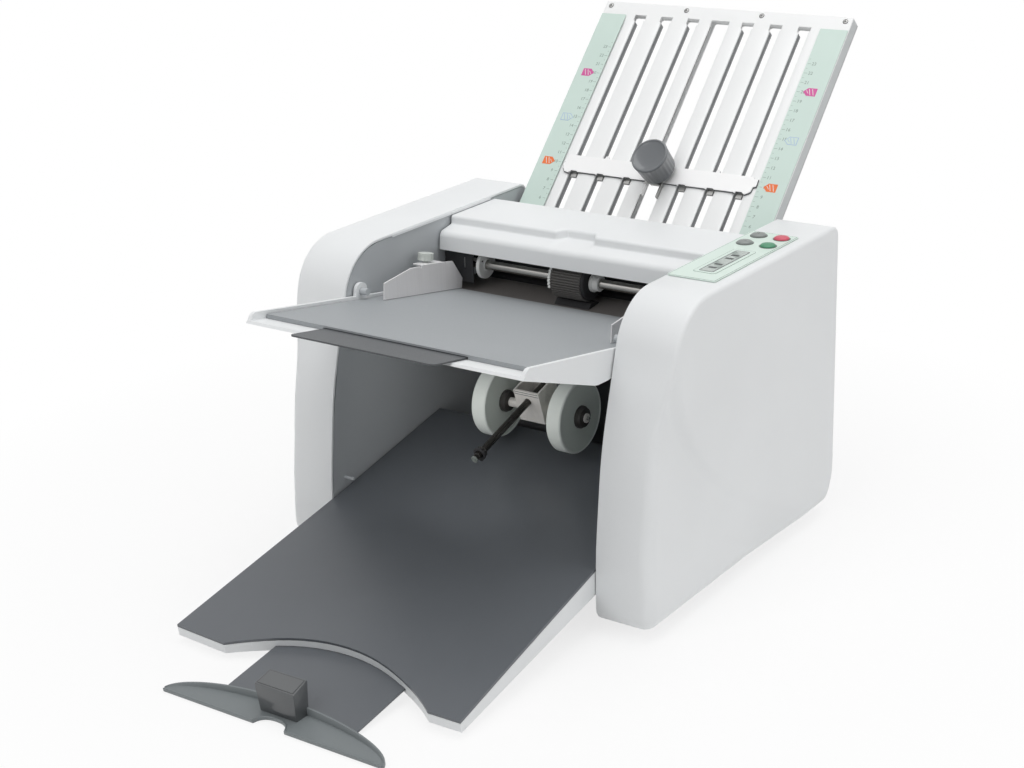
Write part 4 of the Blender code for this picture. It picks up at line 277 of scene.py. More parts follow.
PAINT = {
    "casing": moulded("casing_white", (238, 240, 241), 0.42),
    "frame": moulded("frame_grey", (188, 192, 195), 0.46, 1400.0, 0.00003, 0.15),
    "dark": moulded("sheet_dark", (74, 77, 80), 0.48, 1400.0, 0.00003, 0.3, dust=0.12),
    "black": moulded("sheet_black", (38, 39, 41), 0.55, 1200.0, 0.00003, 0.25, dust=0.10),
    "tray_top": moulded("tray_slate", (98, 102, 107), 0.34, 1400.0, 0.00003, 0.3, dust=0.12),
    "deck": moulded("deck_grey", (156, 160, 163), 0.52, 1000.0, 0.00005, 0.2),
    "label": moulded("label_mint", (222, 238, 229), 0.36, 1800.0, 0.00001, 0.1),
    "scale": moulded("scale_mint", (211, 229, 221), 0.36, 1800.0, 0.00001, 0.1),
    "grey_button": moulded("button_grey", (138, 143, 141), 0.33, 1500.0, 0.00001, 0.3),
    "green_button": moulded("button_green", (70, 142, 106), 0.33, 1500.0, 0.00001, 0.3),
    "red_button": moulded("button_red", (212, 84, 104), 0.33, 1500.0, 0.00001, 0.3),
    "rubber": moulded("rubber_black", (44, 44, 46), 0.72, 700.0, 0.00008, 0.35, 0.35, dust=0.15),
    "nylon": moulded("nylon_white", (232, 233, 231), 0.40, 1200.0, 0.00003, 0.1),
    "wheel": moulded("wheel_rubber", (214, 222, 215), 0.60, 800.0, 0.00006, 0.1, 0.4),
    # lighter copy of the wheel's grey: painted light on the tread, standing in for light thrown up from below
    "tread": moulded("wheel_grey_painted_light", (230, 236, 231), 0.62, 800.0, 0.00006, 0.1, 0.4),
    "hub": moulded("hub_dark", (58, 56, 54), 0.50, 900.0, 0.00005, 0.2),
    "knob": moulded("knob_dark", (88, 92, 96), 0.32, 1300.0, 0.00003, 0.35, 0.6, 0.55, dust=0.08),
    "dish": moulded("dish_grey", (122, 128, 130), 0.40, 1200.0, 0.00003, 0.25),
    "block": moulded("block_dark", (76, 79, 81), 0.34, 1200.0, 0.00003, 0.3, 0.6, 0.45),
    "line": moulded("line_grey", (120, 140, 132), 0.50, 1500.0, 0.00001, 0.0),
    "ink": moulded("ink_dark", (52, 58, 58), 0.45, 1500.0, 0.00001, 0.0),
    "motor": moulded("motor_grey", (150, 150, 152), 0.45, 1100.0, 0.00003, 0.4),
    "screw_dark": moulded("screw_recess", (34, 34, 36), 0.55, 900.0, 0.00003, 0.0),
    "steel": drawn_metal("steel_drawn", (206, 206, 206), 0.30, (2600.0, 30.0, 30.0)),
    "shaft": drawn_metal("steel_shaft", (196, 194, 190), 0.24, (2.0, 1200.0, 1200.0)),
    "bar": drawn_metal("steel_bar", (252, 252, 252), 0.34, (5.0, 2600.0, 2600.0), 0.15, 0.012, 0.000002),
    "guide": drawn_metal("steel_guide", (240, 239, 240), 0.44, (900.0, 1400.0, 5.0), 0.20, 0.09, 0.000006),
    "rod": drawn_metal("steel_rod", (62, 60, 57), 0.30, (900.0, 4.0, 900.0), 0.7),
    "enamel": moulded("plate_enamel", (250, 251, 251), 0.34, 1500.0, 0.00002, 0.2, 0.5, 0.1),
    "channel": moulded("channel_enamel", (246, 247, 247), 0.40, 1500.0, 0.00002, 0.2),
    # the white enamel darkened to grey: painted shade on the slats' folded edges
    "flange": moulded("enamel_painted_shade", (158, 161, 163), 0.42, 1500.0, 0.00002, 0.1),
    "wall": moulded("wall_enamel", (203, 206, 207), 0.48, 1100.0, 0.00006, 0.25),
    "glass": moulded("window_glass", (168, 180, 173), 0.10, 300.0, 0.000002, 0.0, 0.6, 0.6, dust=0.02),
    "rim": moulded("button_rim", (96, 102, 99), 0.40, 1500.0, 0.00001, 0.1),
    "print": moulded("scale_print", (142, 160, 152), 0.50, 1500.0, 0.00001, 0.0),
    "magenta": moulded("marker_magenta", (214, 90, 160), 0.42, 1500.0, 0.00001, 0.0),
    "pale_blue": moulded("marker_blue", (176, 200, 224), 0.42, 1500.0, 0.00001, 0.0),
    "orange": moulded("marker_orange", (240, 122, 64), 0.42, 1500.0, 0.00001, 0.0),
    "screw": drawn_metal("screw_steel", (170, 170, 168), 0.34, (900.0, 900.0, 900.0), 0.9),
    "zinc": drawn_metal("zinc_sheet", (246, 243, 238), 0.46, (500.0, 260.0, 90.0), 0.25, 0.10, 0.00001),
    "thumb": moulded("thumb_screw", (206, 211, 206), 0.42, 1200.0, 0.00003, 0.1),
    "grip": moulded("grip_rubber", (92, 90, 88), 0.60, 900.0, 0.00004, 0.15, 0.4),
    # the feed guide's dark plastic painted lighter: painted light inside the machine where it lies in shadow
    "inside": moulded("inside_grey_painted_light", (116, 112, 110), 0.55, 1100.0, 0.00004, 0.2),
    # darker copy of the bar's bright steel: painted shade on the stop's hooks and fork
    "fork": drawn_metal("steel_painted_shade", (176, 176, 174), 0.32, (900.0, 6.0, 900.0), 0.85),
}


# ---- mesh building

def spot(axis, a, b, along):
    """Point at (a, b) across an axis and at a place along it."""
    return {"x": (along, a, b), "y": (a, along, b), "z": (a, b, along)}[axis]


def loft(rings, bm=None):
    """Skin a run of rings with equal counts and close both ends."""
    bm = bm or bmesh.new()
    rows = [[bm.verts.new(point) for point in ring] for ring in rings]
    count = len(rows[0])
    for near, far in zip(rows, rows[1:]):
        for index in range(count):
            after = (index + 1) % count
            bm.faces.new((near[index], near[after], far[after], far[index]))
    bm.faces.new(list(reversed(rows[0])))
    bm.faces.new(rows[-1])
    return bm


def extrude(outline, axis, start, end, bm=None):
    """Run an outline along an axis."""
    return loft([[spot(axis, a, b, along) for a, b in outline] for along in (start, end)], bm)


def block(low, high, bm=None):
    """Box between two corners, for a mesh that other shapes join."""
    outline = [(low[1], low[2]), (high[1], low[2]), (high[1], high[2]), (low[1], high[2])]
    return extrude(outline, "x", low[0], high[0], bm)


def circle(a, b, radius, steps):
    """Points of a circle."""
    turns = [math.tau * index / steps for index in range(steps)]
    return [(a + radius * math.cos(turn), b + radius * math.sin(turn)) for turn in turns]


def turned(profile, axis, a, b, steps=48, bm=None):
    """Turn (radius, place) points about an axis; a radius of 0 closes an end."""
    bm = bm or bmesh.new()
    rows = []
    for radius, along in profile:
        points = circle(a, b, radius, steps) if radius else [(a, b)]
        rows.append([bm.verts.new(spot(axis, u, v, along)) for u, v in points])
    pairs = list(zip(rows, rows[1:]))
    if profile[0][0] and profile[-1][0]:
        pairs.append((rows[-1], rows[0]))
    for near, far in pairs:
        for index in range(steps):
            after = (index + 1) % steps
            corners = [near[0] if len(near) == 1 else near[index], near[after] if len(near) > 1 else None,
                       far[after] if len(far) > 1 else None, far[0] if len(far) == 1 else far[index]]
            bm.faces.new([corner for corner in corners if corner])
    return bm


def fillet(corners, step=math.radians(9)):
    """Round the corners of an outline given as (a, b, radius)."""
    points = []
    for index, (a, b, radius) in enumerate(corners):
        if not radius:
            points.append((a, b))
            continue
        here = Vector((a, b))
        back = (Vector(corners[index - 1][:2]) - here).normalized()
        ahead = (Vector(corners[(index + 1) % len(corners)][:2]) - here).normalized()
        corner = back.angle(ahead)
        reach = radius / math.tan(corner / 2)
        hub = here + (back + ahead).normalized() * (radius / math.sin(corner / 2))
        first = math.atan2(*reversed(here + back * reach - hub))
        last = math.atan2(*reversed(here + ahead * reach - hub))
        sweep = (last - first + math.pi) % math.tau - math.pi
        steps = max(1, math.ceil(abs(sweep) / step))
        for count in range(steps + 1):
            turn = first + sweep * count / steps
            points.append((hub.x + radius * math.cos(turn), hub.y + radius * math.sin(turn)))
    return points


def rounded_rectangle(low_a, high_a, low_b, high_b, radius, step=math.radians(15)):
    """Rectangle with round corners."""
    return fillet([(low_a, low_b, radius), (high_a, low_b, radius), (high_a, high_b, radius),
                   (low_a, high_b, radius)], step)


def resample(outline, count):
    """Even points round a closed outline."""
    points = [Vector(point) for point in outline]
    points.append(points[0])
    lengths = [(b - a).length for a, b in zip(points, points[1:])]
    gap = sum(lengths) / count
    made, index, used = [], 0, 0.0
    for number in range(count):
        target = gap * number
        while used + lengths[index] < target:
            used += lengths[index]
            index += 1
        share = (target - used) / lengths[index]
        made.append(tuple(points[index].lerp(points[index + 1], share)))
    return made


def inset(outline, distance):
    """Move a rounded outline inwards by one distance, or by a list with one for each point."""
    count = len(outline)
    area = sum(outline[i - 1][0] * outline[i][1] - outline[i][0] * outline[i - 1][1] for i in range(count))
    side = math.copysign(1.0, area)
    moved = []
    for index, (a, b) in enumerate(outline):
        near, far = outline[index - 1], outline[(index + 1) % count]
        first = math.atan2(b - near[1], a - near[0])
        second = math.atan2(far[1] - b, far[0] - a)
        half = ((second - first + math.pi) % math.tau - math.pi) / 2
        normal = first + half + side * math.pi / 2
        reach = (distance[index] if isinstance(distance, list) else distance) / math.cos(half)
        moved.append((a + reach * math.cos(normal), b + reach * math.sin(normal)))
    return moved


def punched(outlines, low, high):
    """Flat sheet between two heights: the first outline is its rim, the others are holes."""
    bm = bmesh.new()
    edges = []
    for outline in outlines:
        row = [bm.verts.new((a, b, low)) for a, b in outline]
        edges += [bm.edges.new((row[index - 1], row[index])) for index in range(len(row))]
    bmesh.ops.triangle_fill(bm, use_beauty=True, use_dissolve=False, edges=edges)
    raised = bmesh.ops.extrude_face_region(bm, geom=list(bm.faces))["geom"]
    tops = [part for part in raised if isinstance(part, bmesh.types.BMVert)]
    bmesh.ops.translate(bm, vec=(0, 0, high - low), verts=tops)
    return bm


def span(side, near, far):
    """Both ends of a stretch on one side of the middle, in rising order."""
    return sorted((side * near, side * far))


def both_ways(half, middle):
    """Closed profile from (radius, distance) points that repeat on both sides of a middle."""
    return [(radius, middle - away) for radius, away in half] + [
        (radius, middle + away) for radius, away in reversed(half)]


def interpolate(table, value):
    """Straight-line value from rows of (at, value)."""
    for (low, first), (high, second) in zip(table, table[1:]):
        if value <= high:
            share = max(0.0, min(1.0, (value - low) / (high - low)))
            return first + (second - first) * share
    return table[-1][1]


def ease(value):
    """Smooth step from 0 to 1."""
    value = max(0.0, min(1.0, value))
    return value * value * (3 - 2 * value)


def solid(name, bm, paint, body, place=MACHINE, stands_for=(), slot=None, edge=0.0, steps=2, smooth=True):
    """Turn a bmesh into a piece that rides on a body."""
    bmesh.ops.recalc_face_normals(bm, faces=bm.faces)
    bm.transform(place)
    mesh = bpy.data.meshes.new(name)
    bm.to_mesh(mesh)
    bm.free()
    made = bpy.data.objects.new(name, mesh)
    bpy.context.scene.collection.objects.link(made)
    mesh.materials.append(PAINT[paint])
    if smooth:
        mesh.shade_smooth()
        if not edge:
            mesh.set_sharp_from_angle(angle=SOFT_ANGLE)
    if edge:
        round_edges(made, edge, steps)
    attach(made, body)
    if stands_for:
        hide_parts(*stands_for)


def layer(name, outline, low, high, paint, body="machine", place=MACHINE, **more):
    """Flat piece between two heights."""
    solid(name, extrude(outline, "z", low, high), paint, body, place, **more)


def spun(name, profile, axis, a, b, steps, paint, body, place=MACHINE, **more):
    """Turned piece."""
    solid(name, turned(profile, axis, a, b, steps), paint, body, place, **more)


def round_edges(piece, width, steps=2):
    """Break the sharp edges of a piece."""
    bevel = piece.modifiers.new("broken_edges", "BEVEL")
    bevel.width = width
    bevel.segments = steps
    bevel.limit_method = "ANGLE"
    bevel.angle_limit = math.radians(40)
    bevel.harden_normals = True
    bevel.use_clamp_overlap = True


def dress(name, paint, edge=0.0):
    """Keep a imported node's shape and give it its finish."""
    kept = NODES[name]
    kept.data.materials.clear()
    kept.data.materials.append(PAINT[paint])
    if edge:
        round_edges(kept, edge)


# ---- side covers

PANEL_BOTTOM = 0.0085
PANEL_WALL = 0.0025
COVER_POINTS = 240
COVER_RINGS = 48
EDGE_STEPS = 10
COVER_MIDDLE = (-0.130, 0.135)
COVER_CORNERS = [(0, PANEL_BOTTOM, 0.013), (0, PANEL_TOP, 0.0095), (-0.2470, PANEL_TOP, 0.048),
                 (-0.2803, 0.1422, 0.300), (-0.2903, 0.0663, 0.300), (-0.2921, PANEL_BOTTOM, 0.012)]
LIP_OUTLINE = [(-0.0560, 0.2493), (-0.0560, 0.2513), (-0.1938, 0.2513), (-0.1938, 0.2498), (-0.1928, 0.2493)]
# (z, y) where the soft step across the outer face begins, (z, depth) of that step, and (z, depth) of the front's lean
PLATEAU_EDGE = [(0.015, -0.040), (0.045, -0.100), (0.0655, -0.139), (0.088, -0.1744), (0.1161, -0.2079),
                (0.1424, -0.2319), (0.166, -0.2455), (0.1888, -0.2525), (0.2129, -0.2500), (0.2304, -0.2400),
                (0.2415, -0.2190)]
STEP_DEPTH = [(0.015, 0.0), (0.040, 0.0005), (0.0655, 0.0014), (0.088, 0.0023), (0.1161, 0.0032), (0.1424, 0.0040),
              (0.166, 0.0042), (0.1888, 0.0034), (0.2050, 0.0018), (0.2200, 0.0006), (0.2350, 0.0)]
FRONT_LEAN = [(0.010, 0.0036), (0.045, 0.0046), (0.080, 0.0040), (0.105, 0.0034), (0.130, 0.0052), (0.166, 0.0125),
              (0.1850, 0.0100), (0.2020, 0.0), (0.2500, 0.0)]


def cover_outline():
    """Side view of a side cover, as (y, z), with its bulging front."""
    return resample(fillet(COVER_CORNERS, math.radians(3)), COVER_POINTS)


def soft_edge(y, z):
    """Width of the rounded outer edge: fine at the rear, wider along the top, widest at the lower front."""
    front = ease((-0.200 - y) / 0.060)
    width = 0.0036 + 0.0064 * front * ease((0.205 - z) / 0.110)
    width += (0.0120 - width) * ease((0.040 - z) / 0.028)
    return width + (0.0018 - width) * ease((y + 0.024) / 0.020) * ease((z - 0.020) / 0.030)


def facet(y, z):
    """Depth of the soft step that runs down from the shoulder across a cover's outer face."""
    edge = interpolate(PLATEAU_EDGE, z)
    width = 0.011 + 0.012 * ease((0.150 - z) / 0.090)
    lean = interpolate(FRONT_LEAN, z) * max(0.0, edge - y) / 0.090
    return interpolate(STEP_DEPTH, z) * ease((edge - y) / width) + min(lean, interpolate(FRONT_LEAN, z))


def side_cover(label, side):
    """Moulded shell with a rounded outer edge, a bulging front and a soft step across its face."""
    outline = cover_outline()
    rims = [soft_edge(y, z) for y, z in outline]
    inner_edge = inset(outline, rims)
    depths = [facet(y, z) for y, z in inner_edge]
    deep = SIDE_OUTER - PANEL_WALL
    inside = ((deep - 0.010, PANEL_WALL + 0.006), (deep - 0.018, PANEL_WALL), (SIDE_INNER + 0.0006, PANEL_WALL),
              (SIDE_INNER, PANEL_WALL - 0.0006), (SIDE_INNER, 0.0007), (SIDE_INNER + 0.0002, 0.0002),
              (SIDE_INNER + 0.0007, 0.0))
    rings = [[(x, y, z) for y, z in inset(outline, reach)] for x, reach in inside]
    for step in range(EDGE_STEPS + 1):
        turn = math.pi / 2 * step / EDGE_STEPS
        ring = []
        for (y, z), rim, depth in zip(inset(outline, [rim * (1 - math.cos(turn)) for rim in rims]), rims, depths):
            ring.append((SIDE_OUTER - rim * (1 - math.sin(turn)) - depth, y, z))
        rings.append(ring)
    mid_y, mid_z = COVER_MIDDLE
    for step in range(1, COVER_RINGS):
        share = 1 - (step / COVER_RINGS) ** 1.25
        shrunk = [(mid_y + (y - mid_y) * share, mid_z + (z - mid_z) * share) for y, z in inner_edge]
        rings.append([(SIDE_OUTER - facet(y, z), y, z) for y, z in shrunk])
    rings = [[(side * x, y, z) for x, y, z in ring] for ring in rings]
    solid("cover_shell_" + label, loft(rings), "casing", "machine", stands_for=["side_cover_" + label],
          slot="white_casing")
    lip = extrude(LIP_OUTLINE, "x", *span(side, SIDE_INNER - 0.0006, SIDE_INNER + 0.0004))
    solid("cover_lip_" + label, lip, "casing", "machine")


for label, side in SIDES:
    side_cover(label, side)


# ---- top cover

TOP_HALF = 0.1277
TOP_WALL = 0.0025
TOP_SOFT = 0.0016           # rounding at both ends
TOP_RISE = 0.2492
TOP_REAR = -0.0495
STEP_Y = -0.1147
NOTCH_DEPTH = 0.0095
NOTCH_END = 0.0200
NOTCH_RAMP = 0.0075
TOP_PIN = (-0.0550, 0.2385, 0.0025)     # place and radius of the hinge pins
TOP_PIN_END = 0.1315
RIM_EXTRA = 4               # stations of the outer shell beyond each end of the inner one


def cover_section(step_back, shrink):
    """Outline (y, z) of the top cover for a step that stands further back, drawn in by an amount."""
    step = STEP_Y + step_back
    corners = [(TOP_REAR, 0.2345, 0), (TOP_REAR, TOP_RISE, 0.0030), (step, TOP_RISE, 0.0028),
               (step - 0.0004, 0.2422, 0.0016), (-0.1318, 0.2390, 0.0062), (-0.1334, 0.2240, 0)]
    points = fillet(corners, math.radians(12))
    if shrink:
        moved = inset(points, shrink)
        points = [(moved[0][0], points[0][1]), *moved[1:-1], (moved[-1][0], points[-1][1])]
    return points


def top_stations():
    """Places across the top cover, each with how far its section is drawn in there."""
    places = [(-TOP_HALF, TOP_SOFT)]
    places += [(-TOP_HALF + TOP_SOFT * (1 - math.sin(turn)), TOP_SOFT * (1 - math.cos(turn)))
               for turn in map(math.radians, (67, 45, 22))]
    places += [(x, 0.0) for x in (-TOP_HALF + TOP_SOFT, -0.100, -0.060, -0.026)]
    places += [(-0.0205 + 0.0015 * index, 0.0) for index in range(6)]   # the notch's ramp
    places += [(-0.009, 0.0), (0.0, 0.0)]
    return places + [(-x, shrink) for x, shrink in reversed(places[:-1])]


def top_cover():
    """Stepped shell over the rollers, open below, with a finger notch in its step."""
    rows, inside = [], []
    for x, shrink in top_stations():
        notch = NOTCH_DEPTH * ease((NOTCH_END - abs(x)) / NOTCH_RAMP)
        rows.append([(x, y, z) for y, z in cover_section(notch, shrink)])
        within = max(TOP_WALL - TOP_HALF, min(TOP_HALF - TOP_WALL, x))
        inside.append([(within, y, z) for y, z in cover_section(NOTCH_DEPTH, TOP_WALL)])
    bm = bmesh.new()
    outer = [[bm.verts.new(point) for point in row] for row in rows]
    inner = [[bm.verts.new(point) for point in row] for row in inside[RIM_EXTRA:-RIM_EXTRA]]
    for grid in (outer, inner):
        for near, far in zip(grid, grid[1:]):
            for index in range(len(near) - 1):
                bm.faces.new((near[index], near[index + 1], far[index + 1], far[index]))
        bm.faces.new(grid[0])
        bm.faces.new(grid[-1])
    long, short = ([row[0] for row in grid] + [row[-1] for row in reversed(grid)] for grid in (outer, inner))
    # the outer rim has more stations than the inner one, so its ends fan onto the inner corners
    count = len(inner)
    pairs = []
    for turn in (0, 1):
        for index in range(len(outer)):
            match = max(0, min(count - 1, index - RIM_EXTRA))
            pairs.append((long[turn * len(outer) + index], short[turn * count + match]))
    for index, (a, b) in enumerate(pairs):
        c, d = pairs[(index + 1) % len(pairs)]
        bm.faces.new([a, c, d, b] if b is not d else [a, c, b])
    for end in (-1, 1):
        extrude(circle(*TOP_PIN, 16), "x", end * (TOP_HALF - TOP_WALL), end * TOP_PIN_END, bm)
    solid("top_cover_shell", bm, "casing", "cover", stands_for=["top_cover"], slot="white_casing")


top_cover()


# ---- upper fold plate

SLOT_HALF = 0.0048
MIDDLE_SLOT_HALF = 0.0092
SLOT_LOW = -0.2453
SLOT_HIGH = -0.0125
KEYHOLE_HALF = 0.0061
KEYHOLE_NECK = -0.0185
SHEET = 0.0012
SLOT_PLACES = [index * SLOT_PITCH for index in range(-3, 4)]
SLAT_SHARES = (0, 0.04, 0.12, 0.25, 0.42, 0.58, 0.75, 0.88, 0.96, 1)
END_STEPS = (0.003, 0.006, 0.010)


def slot_half(centre):
    """Half width of the slot at a centre."""
    return SLOT_HALF if centre else MIDDLE_SLOT_HALF


def plate_stations():
    """Places across and along the plate where its sheet needs an edge."""
    across = {-PLATE_HALF, PLATE_HALF, 0.0}
    slats = []
    for near, far in zip([-STRIP_INNER] + SLOT_PLACES, SLOT_PLACES + [STRIP_INNER]):
        start = near + (slot_half(near) if near > -STRIP_INNER else 0)
        end = far - (slot_half(far) if far < STRIP_INNER else 0)
        slats.append((start, end))
        across.update(start + (end - start) * share for share in SLAT_SHARES)
    for centre in SLOT_PLACES:
        if centre:
            across.update((centre - KEYHOLE_HALF, centre + KEYHOLE_HALF))
    along = {-PLATE_LENGTH, SLOT_LOW, SLOT_HIGH, KEYHOLE_NECK, 0.0}
    along.update(SLOT_LOW + step for step in END_STEPS)
    along.update(KEYHOLE_NECK - step for step in END_STEPS)
    return sorted(across), sorted(along), slats


def upper_face():
    """Slotted front sheet: crowned slats between keyholed slots."""
    across, along, slats = plate_stations()
    bm = bmesh.new()

    def height(x, s):
        for start, end in slats:
            if start <= x <= end:
                share = 2 * (x - start) / (end - start) - 1
                fade = ease(min(s - SLOT_LOW, SLOT_HIGH - s) / 0.010)
                return -0.0009 * abs(share) ** 3.2 * fade
        return 0.0

    def is_open(x, s):
        for centre in SLOT_PLACES:
            half = KEYHOLE_HALF if centre and s > KEYHOLE_NECK else slot_half(centre)
            if abs(x - centre) < half and SLOT_LOW < s < SLOT_HIGH:
                return True
        return False

    grid = {}
    for level in (0, 1):
        for i, x in enumerate(across):
            for j, s in enumerate(along):
                grid[i, j, level] = bm.verts.new((x, s, height(x, s) - level * SHEET))
    filled = set()
    for i in range(len(across) - 1):
        for j in range(len(along) - 1):
            if not is_open((across[i] + across[i + 1]) / 2, (along[j] + along[j + 1]) / 2):
                filled.add((i, j))
    for i, j in filled:
        for level in (0, 1):
            bm.faces.new([grid[p, q, level] for p, q in ((i, j), (i + 1, j), (i + 1, j + 1), (i, j + 1))])
        for di, dj, first, second in ((-1, 0, (i, j), (i, j + 1)), (1, 0, (i + 1, j), (i + 1, j + 1)),
                                      (0, -1, (i, j), (i + 1, j)), (0, 1, (i, j + 1), (i + 1, j + 1))):
            if (i + di, j + dj) not in filled:
                bm.faces.new((grid[(*first, 0)], grid[(*second, 0)], grid[(*second, 1)], grid[(*first, 1)]))
    bmesh.ops.delete(bm, geom=[vert for vert in bm.verts if not vert.link_faces], context="VERTS")
    solid("plate_face", bm, "enamel", "machine", UPPER_PLATE, ["upper_face"], "plate_enamel")
    for number, centre in enumerate(SLOT_PLACES, 1):
        for label, side in SIDES:
            slot_flange(f"{label}_{number}", centre, side)


def slot_flange(label, centre, side):
    """Two-step flange that hangs below one edge of a slot, over a dark liner. The flange's grey is the plate's white
    enamel darkened as painted shade, and the dark liner is painted shadow in the slot.
    """
    wall = centre + side * (slot_half(centre) + 0.0001)

    def band(near, far, low, high, bm=None):
        first, last = span(side, near, far)
        return block((wall + first, SLOT_LOW, low), (wall + last, KEYHOLE_NECK, high), bm)

    # dark liner strips: painted shadow along the slot's edge and between the flange's two steps
    if not centre:
        solid("slot_painted_shadow_" + label, band(0.0, 0.0006, -0.0030, -0.0014), "dark", "machine", UPPER_PLATE)
        return
    solid("slot_painted_shadow_" + label, band(0.0003, 0.0009, -0.0079, -0.0016), "dark", "machine", UPPER_PLATE)
    lips = band(0.0, 0.0008, -0.0043, -0.0026)
    band(0.0, 0.0008, -0.0073, -0.0048, lips)
    solid("slot_flange_" + label, lips, "flange", "machine", UPPER_PLATE, edge=0.0002, steps=1)


upper_face()

TROUGH_BACK = -0.0125
TROUGH_WALL = 0.0030
TOP_RAIL = 0.0080
REAR_SLOT_HALF = 0.0116
PIN_PLACES = (-0.2550, -0.2154)


def upper_trough():
    """Trough behind the slotted face: slotted rear sheet, top rail, side walls and side pins."""
    rim = [(-PLATE_HALF, -PLATE_LENGTH), (PLATE_HALF, -PLATE_LENGTH), (PLATE_HALF, 0.0), (-PLATE_HALF, 0.0)]
    openings = [rounded_rectangle(centre - REAR_SLOT_HALF, centre + REAR_SLOT_HALF, SLOT_LOW, -TOP_RAIL - 0.0005,
                                  0.0020) for centre in SLOT_PLACES]
    sheet = punched([rim, *openings], TROUGH_BACK, TROUGH_BACK + SHEET)
    inner = PLATE_HALF - TROUGH_WALL
    block((-inner, -TOP_RAIL, TROUGH_BACK + SHEET * 0.5), (inner, 0.0, -SHEET - 0.0001), sheet)
    solid("plate_trough", sheet, "channel", "machine", UPPER_PLATE, ["upper_channel"], "plate_enamel", 0.0003)
    for label, side in SIDES:
        low, high = span(side, inner, PLATE_HALF)
        wall = block((low, -PLATE_LENGTH, TROUGH_BACK - 0.0001), (high, 0.0001, -SHEET - 0.0001))
        solid("trough_wall_" + label, wall, "wall", "machine", UPPER_PLATE, edge=0.0005)
        pins = bmesh.new()
        profile = [(0, side * inner), (0.0030, side * inner), (0.0030, side * 0.1309), (0.0024, side * 0.1315),
                   (0, side * 0.1315)]
        for s in PIN_PLACES:
            turned(profile, "x", s, -0.0075, 20, pins)
        solid("trough_pins_" + label, pins, "screw", "machine", UPPER_PLATE)


upper_trough()


SCREW_RADIUS = 0.0020
SCREW_RISE = 0.0006


def cross_screw(name, place):
    """Small screw: domed head with a cross recess, in a dark seat."""
    radius, rise, rim = SCREW_RADIUS, SCREW_RISE, SCREW_RADIUS * 1.22
    seat = [(0, 0.0002), (rim, 0.0002), (rim, -0.0004), (0, -0.0004)]
    spun(name + "_seat", seat, "z", 0, 0, 20, "screw_dark", "machine", place)
    dome = [(0, -0.0004), (radius, -0.0004), (radius, rise * 0.55), (radius * 0.86, rise * 0.85),
            (radius * 0.5, rise), (0, rise)]
    spun(name + "_head", dome, "z", 0, 0, 20, "screw", "machine", place)
    arm, half = radius * 0.62, radius * 0.13
    quarter = [(-arm, -half), (-half, -half), (-half, -arm)]
    cross = [(a * x - b * y, b * x + a * y) for a, b in ((1, 0), (0, 1), (-1, 0), (0, -1)) for x, y in quarter]
    layer(name + "_cross", cross, rise * 0.4, rise + 0.00004, "screw_dark", "machine", place)


for number, x in enumerate((-0.1187, -0.0384, 0.0379, 0.1184), 1):
    cross_screw(f"plate_screw_{number}", UPPER_PLATE @ Matrix.Translation((x, -0.0044, 0.0)))


# ---- fold scales

STRIP_TOP = 0.0008
PRINT_SINK = 0.0001
PRINT_RISE = 0.00008
TICK_FIRST = -0.2112
TICK_PITCH = 0.0095
TICK_X = 0.0995
FIGURE_SIZE = 0.0044
FIGURE_GAP = 0.0060         # from where the ticks start to the middle of a figure
FIRST_FIGURE = 6


def numerals(name, text, place):
    """Raised figures of a scale, turned into a mesh."""
    curve = bpy.data.curves.new(name, "FONT")
    curve.body = text
    curve.size = FIGURE_SIZE
    curve.align_x = "CENTER"
    curve.align_y = "CENTER"
    curve.extrude = PRINT_RISE
    curve.resolution_u = 2
    holder = bpy.data.objects.new(name + "_form", curve)
    bpy.context.scene.collection.objects.link(holder)
    bpy.context.view_layer.update()
    mesh = bpy.data.meshes.new_from_object(holder)
    bpy.data.objects.remove(holder)
    bpy.data.curves.remove(curve)
    bm = bmesh.new()
    bm.from_mesh(mesh)
    bpy.data.meshes.remove(mesh)
    solid(name, bm, "print", "machine", place, smooth=False)


def scale_strip(label, side):
    """Mint strip with a column of ticks and figures."""
    strip = rounded_rectangle(*span(side, STRIP_INNER, PLATE_HALF), -0.2373, -0.0135, 0.0008)
    layer("fold_scale_" + label, strip, FIT, STRIP_TOP, "scale", "machine", UPPER_PLATE,
          stands_for=["scale_" + label], slot="green_label", edge=0.0002, steps=1)
    ticks = bmesh.new()
    for index in range(18):
        s = TICK_FIRST + index * TICK_PITCH
        for middle, length, half in ((s, 0.0030, 0.00014), (s + TICK_PITCH / 2, 0.0016, 0.0001)):
            start, end = span(side, TICK_X, TICK_X + length)
            block((start, middle - half, STRIP_TOP - PRINT_SINK), (end, middle + half, STRIP_TOP + PRINT_RISE), ticks)
        number = index + FIRST_FIGURE
        numerals(f"figure_{label}_{number}", str(number),
                 UPPER_PLATE @ Matrix.Translation((side * (TICK_X + FIGURE_GAP), s, STRIP_TOP)))
    solid("fold_ticks_" + label, ticks, "print", "machine", UPPER_PLATE, smooth=False)


for label, side in SIDES:
    scale_strip(label, side)


def arrow(half, tall, tip, side, x, s):
    """Outline of a broad arrow on a scale, with its tip towards the slots."""
    points = [(-half, -tall), (half - tip, -tall), (half, 0), (half - tip, tall), (-half, tall)]
    return [(x - side * a, s + b) for a, b in points]


